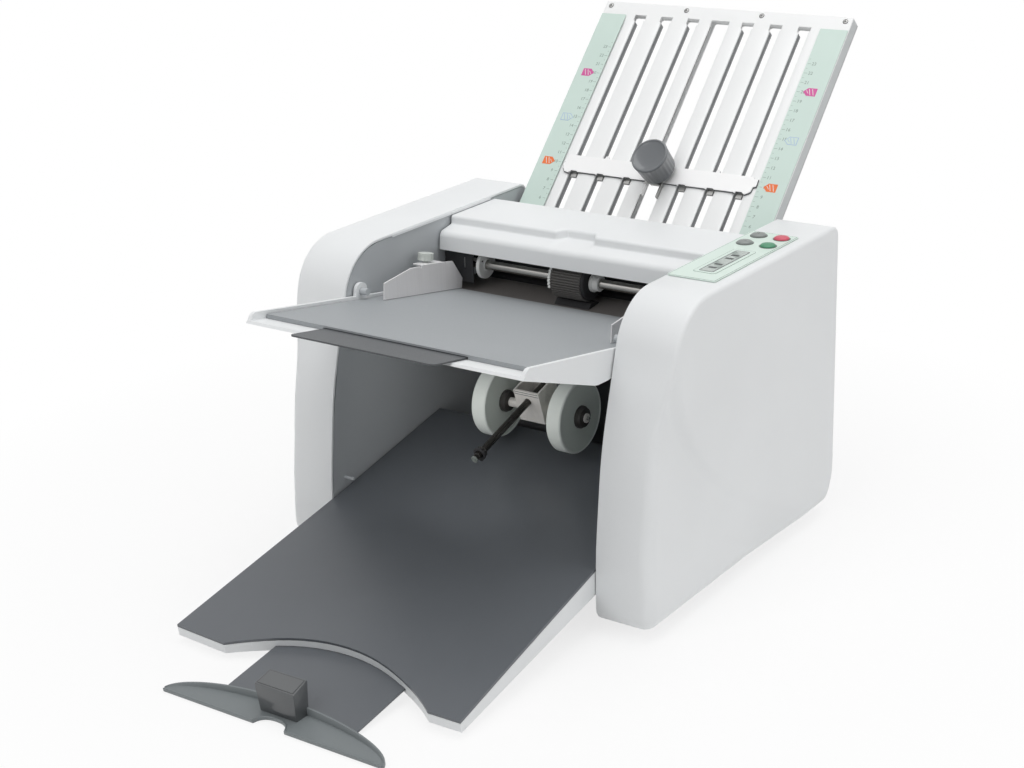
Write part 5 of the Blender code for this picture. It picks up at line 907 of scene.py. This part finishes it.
def fold_marker(name, x, s, side, paint, hollow=False):
    """Printed arrow with diagonal lines across it."""
    lift = STRIP_TOP + 0.0001
    layer(name, arrow(0.0062, 0.0039, 0.0040, side, x, s), STRIP_TOP - PRINT_SINK, lift, paint, "machine",
          UPPER_PLATE, smooth=False)
    if hollow:
        layer(name + "_field", arrow(0.0055, 0.0033, 0.0036, side, x, s), lift - PRINT_SINK, lift + 0.00006, "scale",
              "machine", UPPER_PLATE, smooth=False)
    lines = bmesh.new()
    for shift, reach in ((-0.0030, 0.9), (0.0, 0.9), (0.0022, 0.45)):
        tall = 0.0033 * reach
        start = x - side * shift
        slash = [(start - 0.0016, s + tall), (start - 0.0010, s + tall), (start + 0.0016, s - tall),
                 (start + 0.0010, s - tall)]
        extrude(slash, "z", lift - 0.00004, lift + 0.00012, lines)
    solid(name + "_lines", lines, paint if hollow else "nylon", "machine", UPPER_PLATE, smooth=False)


MARKERS = {"magenta": ((-0.1119, -0.0784), (0.1115, -0.0776)), "pale_blue": ((-0.1133, -0.1268), (0.1120, -0.1264)),
           "orange": ((-0.1126, -0.1732), (0.1098, -0.1729))}
for paint, places in MARKERS.items():
    for (label, side), (x, s) in zip(SIDES, places):
        fold_marker(f"marker_{paint}_{label}", x, s, side, paint, paint == "pale_blue")


# ---- stops on the fold plates

KNOB_PROFILE = [(0, -0.0100), (0.0025, -0.0100), (0.0025, 0.0), (0.0146, 0.0), (0.0152, 0.0006), (0.0155, 0.0030),
                (0.0165, 0.0196), (0.0167, 0.0208), (0.0165, 0.0217), (0.0159, 0.0222), (0.0153, 0.0223),
                (0.0148, 0.0221), (0.0144, 0.0215), (0.0125, 0.0210), (0.0063, 0.0205), (0, 0.0204)]
KNOB_SIDES = 24
KNOB_X = 0.0037
KNOB_S = -0.1712


def upper_knob():
    """Black knob with a shallow dish on top and narrow flats round its side."""
    bm = turned(KNOB_PROFILE, "z", 0, 0, KNOB_SIDES * 4)
    for vert in bm.verts:
        flat = math.hypot(vert.co.x, vert.co.y)
        if flat > 0.0150 and 0.0025 < vert.co.z < 0.0200:
            turn = math.atan2(vert.co.y, vert.co.x) / math.tau * KNOB_SIDES
            dip = 0.00055 * (1 - (2 * abs(turn - round(turn))) ** 2)
            vert.co.x *= 1 - dip / flat
            vert.co.y *= 1 - dip / flat
    solid("plate_knob", bm, "knob", "upper_clamp", UPPER_PLATE @ Matrix.Translation((KNOB_X, KNOB_S, 0.0062)),
          ["upper_knob"], "dark_knob")


BAR_LOW = -0.1815
BAR_HIGH = -0.1650
BAR_FOOT = FIT + 0.0004
BAR_TOP = FIT + 0.0014
HOOK_FOOT = -0.0085
HOOK_TOP = FIT + 0.0007


def stop_bar():
    """Bright bar with saw-tooth ends, two small tabs and a notch at each slot, over a slightly larger dark sheet that
    is painted shadow along the bar's low edge.
    """
    tab = BAR_HIGH + 0.0024
    shape = [(-0.0870, BAR_LOW - 0.0018), (-0.0920, -0.1822), (-0.0945, -0.1790), (-0.0960, -0.1750),
             (-0.0948, -0.1735), (-0.0956, -0.1715), (-0.0930, -0.1672), (-0.0930, BAR_HIGH), (-0.0560, BAR_HIGH),
             (-0.0556, tab), (-0.0526, tab), (-0.0522, BAR_HIGH), (0.0555, BAR_HIGH), (0.0559, tab), (0.0589, tab),
             (0.0593, BAR_HIGH), (0.0920, BAR_HIGH), (0.0930, -0.1666), (0.0968, -0.1662), (0.0971, -0.1736),
             (0.0945, -0.1746), (0.0940, -0.1790), (0.0930, -0.1802), (0.0890, BAR_LOW - 0.0010)]
    for centre in reversed(SLOT_PLACES):
        wide = 0.0032 if centre else 0.0080
        shape += [(centre + wide + 0.0012, BAR_LOW), (centre + wide, BAR_LOW + 0.0009),
                  (centre - wide, BAR_LOW + 0.0009), (centre - wide - 0.0012, BAR_LOW)]
    layer("plate_stop_bar", shape, BAR_FOOT, BAR_TOP, "bar", "upper_stop", UPPER_PLATE,
          stands_for=["upper_stop_bar"], slot="steel", edge=0.0002, steps=1)
    # dark sheet just wider than the bar: painted shadow that draws a dark line along the bar's low edge
    shadow_outline = [(x * 1.004, s - 0.0006) for x, s in shape]
    layer("stop_bar_painted_shadow", shadow_outline, FIT, FIT + 0.0005, "dark", "upper_stop", UPPER_PLATE)


def stop_hooks():
    """Hooks that hold the bar in the slots, in a darker copy of the bar's steel as painted shade; all but the middle
    one have a bright lip beside them in the bar's own steel.
    """
    hooks, lips = bmesh.new(), bmesh.new()
    for centre in SLOT_PLACES:
        if not centre:
            block((-0.0070, BAR_LOW + 0.0012, HOOK_FOOT), (0.0070, BAR_LOW + 0.0030, HOOK_TOP), hooks)
            continue
        block((centre - 0.0030, BAR_LOW + 0.0010, HOOK_FOOT), (centre + 0.0030, BAR_LOW + 0.0028, HOOK_TOP), hooks)
        claw = fillet([(BAR_LOW + 0.0014, -0.0044, 0), (BAR_LOW - 0.0042, -0.0044, 0.0016),
                       (BAR_LOW - 0.0042, -0.0016, 0.0010), (BAR_LOW + 0.0014, -0.0016, 0)], math.radians(30))
        extrude(claw, "x", centre - 0.0026, centre + 0.0030, hooks)
        block((centre - 0.0042, BAR_LOW - 0.0006, BAR_FOOT), (centre - 0.0026, BAR_LOW + 0.0012, BAR_TOP), lips)
    solid("stop_hooks", hooks, "fork", "upper_stop", UPPER_PLATE, edge=0.0002, steps=1)
    solid("stop_lips", lips, "bar", "upper_stop", UPPER_PLATE, edge=0.0002, steps=1)


def stop_fork():
    """Bent fork below the knob in the darker painted-shade steel, with its prong in the bar's own bright steel."""
    fork = fillet([(-0.0072, BAR_LOW + 0.0012, 0), (-0.0072, BAR_LOW - 0.0030, 0.0006),
                   (0.0102, BAR_LOW - 0.0030, 0.0012), (0.0102, BAR_LOW + 0.0012, 0)], math.radians(30))
    arm = extrude(fork, "z", BAR_TOP, BAR_TOP + 0.0012)
    block((0.0086, BAR_LOW - 0.0150, -0.0030), (0.0102, BAR_LOW - 0.0026, BAR_TOP + 0.0011), arm)
    solid("stop_fork", arm, "fork", "upper_stop", UPPER_PLATE, edge=0.0003)
    prong = block((-0.0070, BAR_LOW - 0.0135, -0.0024), (-0.0062, BAR_LOW - 0.0026, BAR_TOP + 0.0004))
    solid("stop_prong", prong, "bar", "upper_stop", UPPER_PLATE, edge=0.0001, steps=1)


def upper_stop():
    """Stop on the upper plate: bar, hooks, fork, and the knob on its washer."""
    stop_bar()
    stop_hooks()
    stop_fork()
    upper_knob()
    washer = [(0, 0.0021), (0.0078, 0.0021), (0.0078, 0.0050), (0.0064, 0.0058), (0, 0.0058)]
    spun("knob_washer", washer, "z", KNOB_X, KNOB_S, 36, "dark", "upper_stop", UPPER_PLATE)


upper_stop()


# ---- control panel

def controls():
    """Mint label with its outline, and the display window with its digits."""
    low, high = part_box("control_label")
    face = high[2]
    plate = rounded_rectangle(SIDE_INNER + 0.0010, high[0], low[1] - SHIFT_Y, high[1] - SHIFT_Y, 0.0022)
    layer("control_plate", plate, low[2], face, "label", stands_for=["control_label"], slot="green_label",
          edge=0.00012, steps=1)
    layer("control_border", inset(plate, 0.0008), face - PRINT_SINK, face + 0.00006, "line")
    layer("control_field", inset(plate, 0.0012), face, face + 0.00010, "label")
    low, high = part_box("display_window")
    left, right, front, rear = low[0], high[0], low[1] - SHIFT_Y, high[1] - SHIFT_Y
    top = face + 0.0001
    rise = max(high[2], top + 0.00034)
    ridge = rounded_rectangle(left - 0.0042, right + 0.0042, front - 0.0042, rear + 0.0042, 0.0030)
    layer("display_ridge", ridge, top - PRINT_SINK, top + 0.00014, "line")
    layer("display_field", inset(ridge, 0.0004), top, top + 0.00018, "label")
    glass = rounded_rectangle(left, right, front, rear, 0.0012)
    layer("display_edge", inset(glass, -0.0007), top, top + 0.00024, "ink")
    layer("display_glass", glass, low[2], rise, "glass", stands_for=["display_window"], slot="display_glass",
          edge=0.0002)
    middle = (left + right) / 2
    for number, share in enumerate((0.17, 0.33, 0.62, 0.78), 1):
        y = front + (rear - front) * share
        bar = rounded_rectangle(middle - 0.0034, middle + 0.0034, y - 0.0016, y + 0.0016, 0.0004)
        layer(f"display_digit_{number}", bar, rise - PRINT_SINK, rise + 0.00006, "ink")


controls()

MARK_LONG = 0.0014
MARK_THIN = 0.00025
BUTTON_PAINT = {"minus": "grey_button", "plus": "grey_button", "start": "green_button", "stop": "red_button"}


def button(label):
    """Domed push button in a dark rim."""
    low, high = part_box("button_" + label)
    x, y = (low[0] + high[0]) / 2, (low[1] + high[1]) / 2 - SHIFT_Y
    foot, surface = low[2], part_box("control_label")[1][2]
    radius, top = (high[0] - low[0]) / 2 * 0.82, surface + 0.0024
    profile = [(0, foot), (radius, foot), (radius, surface + 0.0006), (radius * 0.96, surface + 0.0013),
               (radius * 0.84, top - 0.0005), (radius * 0.55, top - 0.0001), (0, top)]
    spun("key_" + label, profile, "z", x, y, 48, BUTTON_PAINT[label], label, stands_for=["button_" + label],
         slot=BUTTON_PAINT[label])
    ring = [(radius + 0.0002, surface - 0.0002), (radius + 0.0009, surface - 0.0002),
            (radius + 0.0008, surface + 0.0004), (radius + 0.0002, surface + 0.0004)]
    spun("key_rim_" + label, ring, "z", x, y, 48, "rim", "machine")
    bars = {"minus": [(MARK_LONG, MARK_THIN)], "plus": [(MARK_LONG, MARK_THIN), (MARK_THIN, MARK_LONG)]}.get(label)
    if bars:
        mark = bmesh.new()
        for wide, deep in bars:
            block((x - wide, y - deep, top - 0.0003), (x + wide, y + deep, top + 0.00005), mark)
        solid("key_mark_" + label, mark, "rim", label)


for label in BUTTON_PAINT:
    button(label)


# ---- feed roller and its neighbours

RIBS = 45
RIB_TOP = 0.0165
RIB_ROOT = 0.0151
TEETH = 108
TOOTH_TOP = 0.0169
TOOTH_ROOT = 0.0160
RING_LOW = 0.0092


def polar(radius, turn):
    """Point (y, z) at an angle round the feed shaft."""
    return FEED_Y + radius * math.cos(turn), FEED_Z + radius * math.sin(turn)


def feed_pieces():
    """Fine-ribbed roller with a plain shoulder, serrated ring, thin disc, collar and the sheet beside the disc."""
    ribs = []
    for index in range(RIBS):
        for share, radius in ((0.0, RIB_ROOT), (0.22, RIB_TOP), (0.58, RIB_TOP), (0.80, RIB_ROOT)):
            ribs.append(polar(radius, math.tau * (index + share) / RIBS))
    solid("grip_roller", extrude(ribs, "x", -0.0150, 0.0136), "grip", "feed", MACHINE, ["feed_roller"], "black_rubber")
    shoulder = [(0.0045, 0.0137), (0.0152, 0.0137), (0.0152, 0.0156), (0.0146, 0.0163), (0.0045, 0.0163)]
    spun("grip_shoulder", shoulder, "x", FEED_Y, FEED_Z, 48, "rubber", "feed")
    teeth = []
    for index in range(TEETH):
        turn = math.tau * (index + 0.5) / TEETH
        radius = RING_LOW
        if math.radians(60) < turn < math.radians(200):
            radius = TOOTH_TOP if index % 3 else TOOTH_ROOT
        teeth.append(polar(radius, turn))
    solid("toothed_ring", extrude(teeth, "x", -0.0174, -0.0153), "nylon", "feed", MACHINE, ["feed_ring"],
          "white_nylon")
    disc = [(0.0043, -0.0942), (0.0115, -0.0942), (0.0121, -0.0937), (0.0121, -0.0911), (0.0116, -0.0906),
            (0.0054, -0.0906), (0.0052, -0.0900), (0.0043, -0.0900)]
    spun("thin_disc", disc, "x", FEED_Y, FEED_Z, 56, "nylon", "feed", stands_for=["shaft_disc"], slot="white_nylon")
    slot = block((-0.0907, FEED_Y - 0.0078, FEED_Z + 0.0040), (-0.0905, FEED_Y - 0.0060, FEED_Z + 0.0052))
    solid("disc_slot", slot, "screw_dark", "feed")
    collar = [(0.0043, 0.0166), (0.0070, 0.0166), (0.0078, 0.0171), (0.0078, 0.0192), (0.0074, 0.0196),
              (0.0067, 0.0198), (0.0067, 0.0240), (0.0062, 0.0246), (0.0043, 0.0246)]
    spun("flanged_collar", collar, "x", FEED_Y, FEED_Z, 48, "nylon", "feed", stands_for=["shaft_collar"],
         slot="white_nylon")
    sheet = block((-0.1270, -0.1262, 0.1960), (-0.0975, -0.1252, 0.2232))
    solid("inner_sheet", sheet, "black", "machine", edge=0.0002, steps=1)
    tab = block((-0.1060, -0.1268, 0.2090), (-0.1052, -0.1263, 0.2180))
    solid("inner_sheet_tab", tab, "screw", "machine", edge=0.0001, steps=1)


feed_pieces()


# ---- side guides

GUIDE_X = 0.1080
GUIDE_SHEET = 0.0012
GUIDE_SIDE = [(0.0089, -0.0062), (0.0082, 0.0078), (0.0422, 0.0171), (0.0546, 0.0175), (0.0546, 0.0160),
              (0.0562, 0.0160), (0.0564, 0.0184), (0.0788, 0.0186), (0.0984, 0.0182), (0.0996, 0.0174),
              (0.1143, 0.0024), (0.1143, -0.0062)]


def side_guide(label, side):
    """Bent sheet guide: a cut-away side with a tab on top for its thumb screw."""
    bent = extrude(GUIDE_SIDE, "x", *span(side, GUIDE_X, GUIDE_X + GUIDE_SHEET))
    near, far = span(side, GUIDE_X + GUIDE_SHEET * 0.6, GUIDE_X + 0.0104)
    extrude(rounded_rectangle(near, far, 0.0570, 0.0868, 0.0012, math.radians(30)), "z", 0.0173, 0.0185, bent)
    solid("bent_guide_" + label, bent, "guide", label + "_guide", TABLE, ["guide_" + label], "brushed_steel", 0.0003)


for label, side in SIDES:
    side_guide(label, side)


# ---- wheels and their rod

AXLE_Y = -0.0648
AXLE_Z = -0.0145
AXLE_TIP = 0.0132
WHEEL_HALF = 0.0067
HUB_PROFILE = [(0.0027, 0.0), (0.0094, 0.0), (0.0093, 0.0024), (0.0084, 0.0032), (0.0080, 0.0048), (0.0046, 0.0056),
               (0.0027, 0.0056)]


def wheel(label, middle):
    """Broad wheel: tread in a lighter copy of the wheel's grey as painted light from below, recessed faces in the
    wheel's own grey, a proud dark hub on each side and the bright axle's end.
    """
    body = label + "_wheel"
    tread = both_ways([(0.0286, WHEEL_HALF), (0.0298, WHEEL_HALF), (0.0306, WHEEL_HALF - 0.0010)], middle)
    spun("tread_" + label, tread, "x", AXLE_Y, AXLE_Z, 96, "tread", body, ROD)
    core = both_ways([(0.0027, WHEEL_HALF - 0.0004), (0.0287, WHEEL_HALF - 0.0004)], middle)
    spun("wheel_core_" + label, core, "x", AXLE_Y, AXLE_Z, 96, "wheel", body, ROD, stands_for=["wheel_" + label],
         slot="wheel_grey")
    for end, side in (("inner", -1), ("outer", 1)):
        at = middle + side * (WHEEL_HALF - 0.0006)
        hub = [(radius, at + side * away) for radius, away in HUB_PROFILE]
        spun(f"wheel_hub_{end}_{label}", hub, "x", AXLE_Y, AXLE_Z, 40, "hub", body, ROD)
    tip = both_ways([(0, 0.0020), (0.0013, 0.0020), (0.0016, 0.0017)], middle + math.copysign(AXLE_TIP, middle))
    spun("axle_end_" + label, tip, "x", AXLE_Y, AXLE_Z, 24, "screw", "bracket", ROD)


wheel("left", -0.0400)
wheel("right", 0.0339)


def wheel_carrier():
    """Clip and pale end of the rod, and the folded edge of the zinc bracket."""
    clip = turned([(0.0036, -0.1482), (0.0053, -0.1482), (0.0057, -0.1476), (0.0057, -0.1468), (0.0053, -0.1462),
                   (0.0036, -0.1462)], "y", 0, 0, 28)
    block((-0.0012, -0.1482, -0.0066), (0.0012, -0.1462, -0.0046), clip)
    solid("rod_clip", clip, "screw_dark", "rod", ROD)
    end = [(0, -0.1556), (0.0012, -0.1556), (0.0014, -0.1551), (0.0026, -0.1554), (0.0030, -0.1549),
           (0.0030, -0.1542), (0, -0.1542)]
    spun("rod_end", end, "y", 0, 0, 28, "rim", "rod", ROD)
    for number, rise in enumerate((0.0083, 0.0061), 1):
        line = block((-0.0116, -0.0767, rise), (0.0116, -0.0764, rise + 0.0005))
        solid(f"bracket_line_{number}", line, "dish", "bracket", ROD)


wheel_carrier()


# ---- delivery tray

FLARE_FROM = 0.1935
FLARE = 0.0062
FLARE_CUTS = (FLARE_FROM, 0.170, 0.145, 0.120, 0.090, 0.060, 0.040, 0.020)
ARM_SETBACK = 0.0040
ARM_LENGTH = 0.060
WALL_DROP = 0.0040
WALL_X = 0.118


def flared(name, paint, node_name, slot, edge):
    """Packed tray piece with its sides spread towards the front, as the photographed tray's are."""
    bm = bmesh.new()
    bm.from_mesh(NODES[node_name].data)
    bm.transform(TRAY.inverted() @ NODES[node_name].matrix_world)
    for cut in FLARE_CUTS:
        bmesh.ops.bisect_plane(bm, geom=[*bm.verts, *bm.edges, *bm.faces], plane_co=(0, cut, 0), plane_no=(0, 1, 0))
    for vert in bm.verts:
        share = max(0.0, (FLARE_FROM - vert.co.y) / FLARE_FROM)
        reach = ease((abs(vert.co.x) - 0.050) / 0.070)
        if abs(vert.co.x) > WALL_X and vert.co.z < 0:
            vert.co.z -= WALL_DROP * math.sin(math.pi * min(1.0, share)) ** 2
        vert.co.x += math.copysign(FLARE * share * reach, vert.co.x)
        vert.co.y += ARM_SETBACK * reach * max(0.0, 1 - vert.co.y / ARM_LENGTH)
    solid(name, bm, paint, "tray", TRAY, [node_name], slot, edge)


flared("tray_shell", "casing", "tray_body", "white_casing", 0.0006)
flared("tray_sheet", "tray_top", "tray_deck", "dark_sheet", 0.0003)

DISH_MIDDLE = 0.0120
DISH_HALF = 0.1003
DISH_FOOT = 0.0041
DISH_STEPS = 96
NOTCH_HALF = 0.0142
FOOT_CORNERS = [(-0.0058, -0.0449), (0.0278, -0.0443), (0.0300, -0.0332), (-0.0038, -0.0336)]
HEAD_CORNERS = [(-0.0068, -0.0442), (0.0292, -0.0436), (0.0262, -0.0252), (-0.0078, -0.0262)]


def dish_front(x):
    """Place of the stop's nearly straight front edge."""
    return -0.0569 + 0.0130 * (x - DISH_MIDDLE)


def dish_rear(x):
    """Place of the stop's curved rear edge."""
    share = (x - DISH_MIDDLE) / (DISH_HALF + 0.0001)
    return dish_front(x) + 0.0012 + 0.0240 * math.sqrt(max(0.0, 1 - share * share))


def rim_rise(x):
    """Height of the rim, which runs out towards both tips."""
    share = (x - DISH_MIDDLE) / DISH_HALF
    return DISH_FOOT + 0.0034 + 0.0042 * (1 - share * share)


def finger_notch(x):
    """Depth of the notch in the middle of the stop's front edge."""
    return 0.0084 * max(0.0, 1 - (abs(x - DISH_MIDDLE) / NOTCH_HALF) ** 2.6) ** 0.6


def block_ring(corners, rise):
    """Outline of the stop's block at a height."""
    return [(x, v, rise) for x, v in fillet([(x, v, 0.0008) for x, v in corners], math.radians(30))]


def delivery_stop():
    """Crescent dish with a finger notch, a curved rim, a low front lip and a flared block."""
    places = [DISH_MIDDLE - DISH_HALF * math.cos(math.pi * index / DISH_STEPS) for index in range(DISH_STEPS + 1)]
    places += [DISH_MIDDLE + side * (0.0090 + 0.0008 * index) for side in (-1, 1) for index in range(9)]
    sections = []
    for x in sorted(set(places)):
        front, rear = dish_front(x) + finger_notch(x), dish_rear(x)
        room = rear - front
        lip, rim = min(0.0012, room * 0.2), min(0.0020, room * 0.3)
        top = rim_rise(x)
        floor = min(DISH_FOOT + 0.0022, top - 0.0004)
        inner = rear - rim
        sections.append([(x, front + 0.0004, DISH_FOOT), (x, front, DISH_FOOT + 0.0006),
                         (x, front, DISH_FOOT + 0.0030), (x, front + lip * 0.4, DISH_FOOT + 0.0034),
                         (x, front + lip, DISH_FOOT + 0.0032), (x, front + lip * 1.6, floor),
                         (x, inner - rim * 0.5, floor + 0.0002), (x, inner, top - 0.0005), (x, inner + rim * 0.2, top),
                         (x, rear - rim * 0.2, top), (x, rear, top - 0.0005), (x, rear, DISH_FOOT + 0.0004),
                         (x, rear - 0.0003, DISH_FOOT)])
    solid("stop_dish", loft(sections), "dish", "delivery_stop", TRAY, ["tray_stop"], "stop_grey")
    rings = [block_ring(FOOT_CORNERS, DISH_FOOT + 0.0018), block_ring(HEAD_CORNERS, 0.0284),
             block_ring(inset(HEAD_CORNERS, 0.0004), 0.0291)]
    solid("stop_block", loft(rings), "block", "delivery_stop", TRAY, edge=0.0003)
    layer("block_line", inset(HEAD_CORNERS, 0.0014), 0.0289, 0.02918, "screw_dark", "delivery_stop", TRAY)
    layer("block_cap", inset(HEAD_CORNERS, 0.0018), 0.0290, 0.02926, "block", "delivery_stop", TRAY)


delivery_stop()


def rear_liner():
    """Dark sheet inside the rear panel: painted shade that darkens the machine's inside and closes the view under it.
    """
    # dark sheet where the inside of the casing lies in shade: painted shade
    sheet = block((-0.1265, -0.0072, 0.0120), (0.1265, -0.0066, 0.1900))
    solid("rear_liner", sheet, "dark", "machine")


rear_liner()


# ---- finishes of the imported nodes

FINISH = {
    "base_plate": ("dark", 0.0006), "rear_panel": ("casing", 0.0008), "side_frame_left": ("frame", 0.0003),
    "side_frame_right": ("frame", 0.0003), "exit_cross_bar": ("frame", 0.0006), "feed_guide": ("inside", 0.0003),
    "separator_pad": ("rubber", 0.0003), "motor": ("motor", 0.0006), "motor_pulley": ("nylon", 0.0002),
    "drive_belt": ("rubber", 0.0), "idler_gear": ("nylon", 0.0002),
    "lower_face": ("enamel", 0.0003), "lower_channel": ("channel", 0.0004), "power_inlet": ("black", 0.0004),
    "power_switch": ("black", 0.0004), "lower_stop_bar": ("bar", 0.0003), "lower_knob": ("knob", 0.0004),
    "feed_shaft": ("shaft", 0.0002), "feed_table": ("casing", 0.0008),
    "table_deck": ("deck", 0.0003), "table_extension": ("dark", 0.0003), "guide_screw_left": ("thumb", 0.0002),
    "guide_screw_right": ("thumb", 0.0002), "wheel_rod": ("rod", 0.0003), "wheel_bracket": ("zinc", 0.0002),
    "tray_extension": ("tray_top", 0.0003),
}
for number in (1, 2, 3, 4):
    FINISH[f"fold_roller_{number}"] = ("rubber", 0.0002)
for corner in ("front_left", "front_right", "rear_left", "rear_right"):
    FINISH["foot_" + corner] = ("rubber", 0.0005)
for name, (paint, edge) in FINISH.items():
    dress(name, paint, edge)


# ---- camera, floor and light

CAMERA_PLACE = (0.8073, -1.1253, 0.6565)
CAMERA_ANGLES = (36.09, 20.3, -2.25)
FLOOR_RADIUS = 6.0


def set_camera():
    """Camera at the photograph's angle."""
    turn, drop, roll = (math.radians(angle) for angle in CAMERA_ANGLES)
    ahead = Vector((-math.sin(turn) * math.cos(drop), math.cos(turn) * math.cos(drop), -math.sin(drop)))
    right = ahead.cross(Vector((0, 0, 1))).normalized()
    up = right.cross(ahead)
    side = right * math.cos(roll) + up * math.sin(roll)
    top = up * math.cos(roll) - right * math.sin(roll)
    data = bpy.data.cameras.new("view_camera")
    data.lens = 64.51
    data.sensor_width = 36.0
    camera = bpy.data.objects.new("view_camera", data)
    basis = Matrix((side, top, -ahead)).transposed().to_4x4()
    camera.matrix_world = Matrix.Translation(CAMERA_PLACE) @ basis
    bpy.context.scene.collection.objects.link(camera)
    bpy.context.scene.camera = camera


def pale_ground():
    """Pale floor that keeps the soft shadow near the object and turns white further out."""
    bm = bmesh.new()
    bmesh.ops.create_circle(bm, cap_ends=True, segments=96, radius=FLOOR_RADIUS)
    mesh = bpy.data.meshes.new("studio_floor")
    bm.to_mesh(mesh)
    bm.free()
    floor = bpy.data.objects.new("studio_floor", mesh)
    bpy.context.scene.collection.objects.link(floor)
    paint = bpy.data.materials.new("floor_white")
    paint.use_nodes = True
    tree = paint.node_tree
    tree.nodes.clear()
    place = node(tree, "ShaderNodeTexCoord").outputs["Object"]
    grain = remap(tree, noise(tree, place, 30.0, 4.0), 0.3, 0.7, 0.965, 1.0)
    tone = blend_colour(tree, grain, (0.88, 0.88, 0.88, 1.0), (0.94, 0.94, 0.94, 1.0))
    shade = node(tree, "ShaderNodeBsdfDiffuse", {"Color": tone})
    glow = node(tree, "ShaderNodeEmission", {"Color": (1, 1, 1, 1), "Strength": 1.0})
    reach = node(tree, "ShaderNodeVectorMath", {0: place}, operation="LENGTH").outputs["Value"]
    share = calc(tree, "MULTIPLY", remap(tree, reach, 0.10, 0.62, 0.72, 1.0), seen_directly(tree))
    mixed = node(tree, "ShaderNodeMixShader", {0: share, 1: shade.outputs[0], 2: glow.outputs[0]})
    node(tree, "ShaderNodeOutputMaterial", {"Surface": mixed.outputs[0]})
    mesh.materials.append(paint)


def lamp(name, place, target, size, power, tone=(1, 1, 1), hidden=False):
    """Soft square lamp that faces a point; a hidden one isn't seen itself."""
    data = bpy.data.lights.new(name, "AREA")
    data.size = size
    data.energy = power
    data.color = tone
    made = bpy.data.objects.new(name, data)
    made.location = place
    made.rotation_euler = (Vector(target) - Vector(place)).to_track_quat("-Z", "Y").to_euler()
    made.visible_camera = not hidden
    made.visible_glossy = not hidden
    bpy.context.scene.collection.objects.link(made)


def studio_light():
    """Large lamp overhead, weaker ones at the right and in front, a small one over the tray and a pale surround."""
    lamp("key_overhead", (0.2, 0.2, 2.4), (0, 0, 0.15), 2.2, 32.0)
    lamp("fill_right", (2.2, 0.3, 0.9), (0, 0, 0.15), 1.6, 7.8)
    lamp("front_high", (-0.2, -1.7, 1.7), (0, 0, 0.18), 1.4, 10.0)
    lamp("fill_front", (-0.3, -2.4, 0.7), (0, 0, 0.12), 1.6, 1.2)
    lamp("tray_bounce", (-0.02, SHIFT_Y - 0.285, 0.136), (0.0, SHIFT_Y - 0.170, 0.108), 0.08, 0.030, (1, 0.98, 0.96),
         True)
    world = bpy.data.worlds.new("studio_surround")
    bpy.context.scene.world = world
    world.use_nodes = True
    tree = world.node_tree
    tree.nodes.clear()
    strength = remap(tree, seen_directly(tree), 0.0, 1.0, 0.30, 1.0)
    glow = node(tree, "ShaderNodeBackground", {"Color": (1, 1, 1, 1), "Strength": strength})
    node(tree, "ShaderNodeOutputWorld", {"Surface": glow.outputs[0]})


set_camera()
pale_ground()
studio_light()
bpy.context.scene.view_settings.view_transform = "Standard"
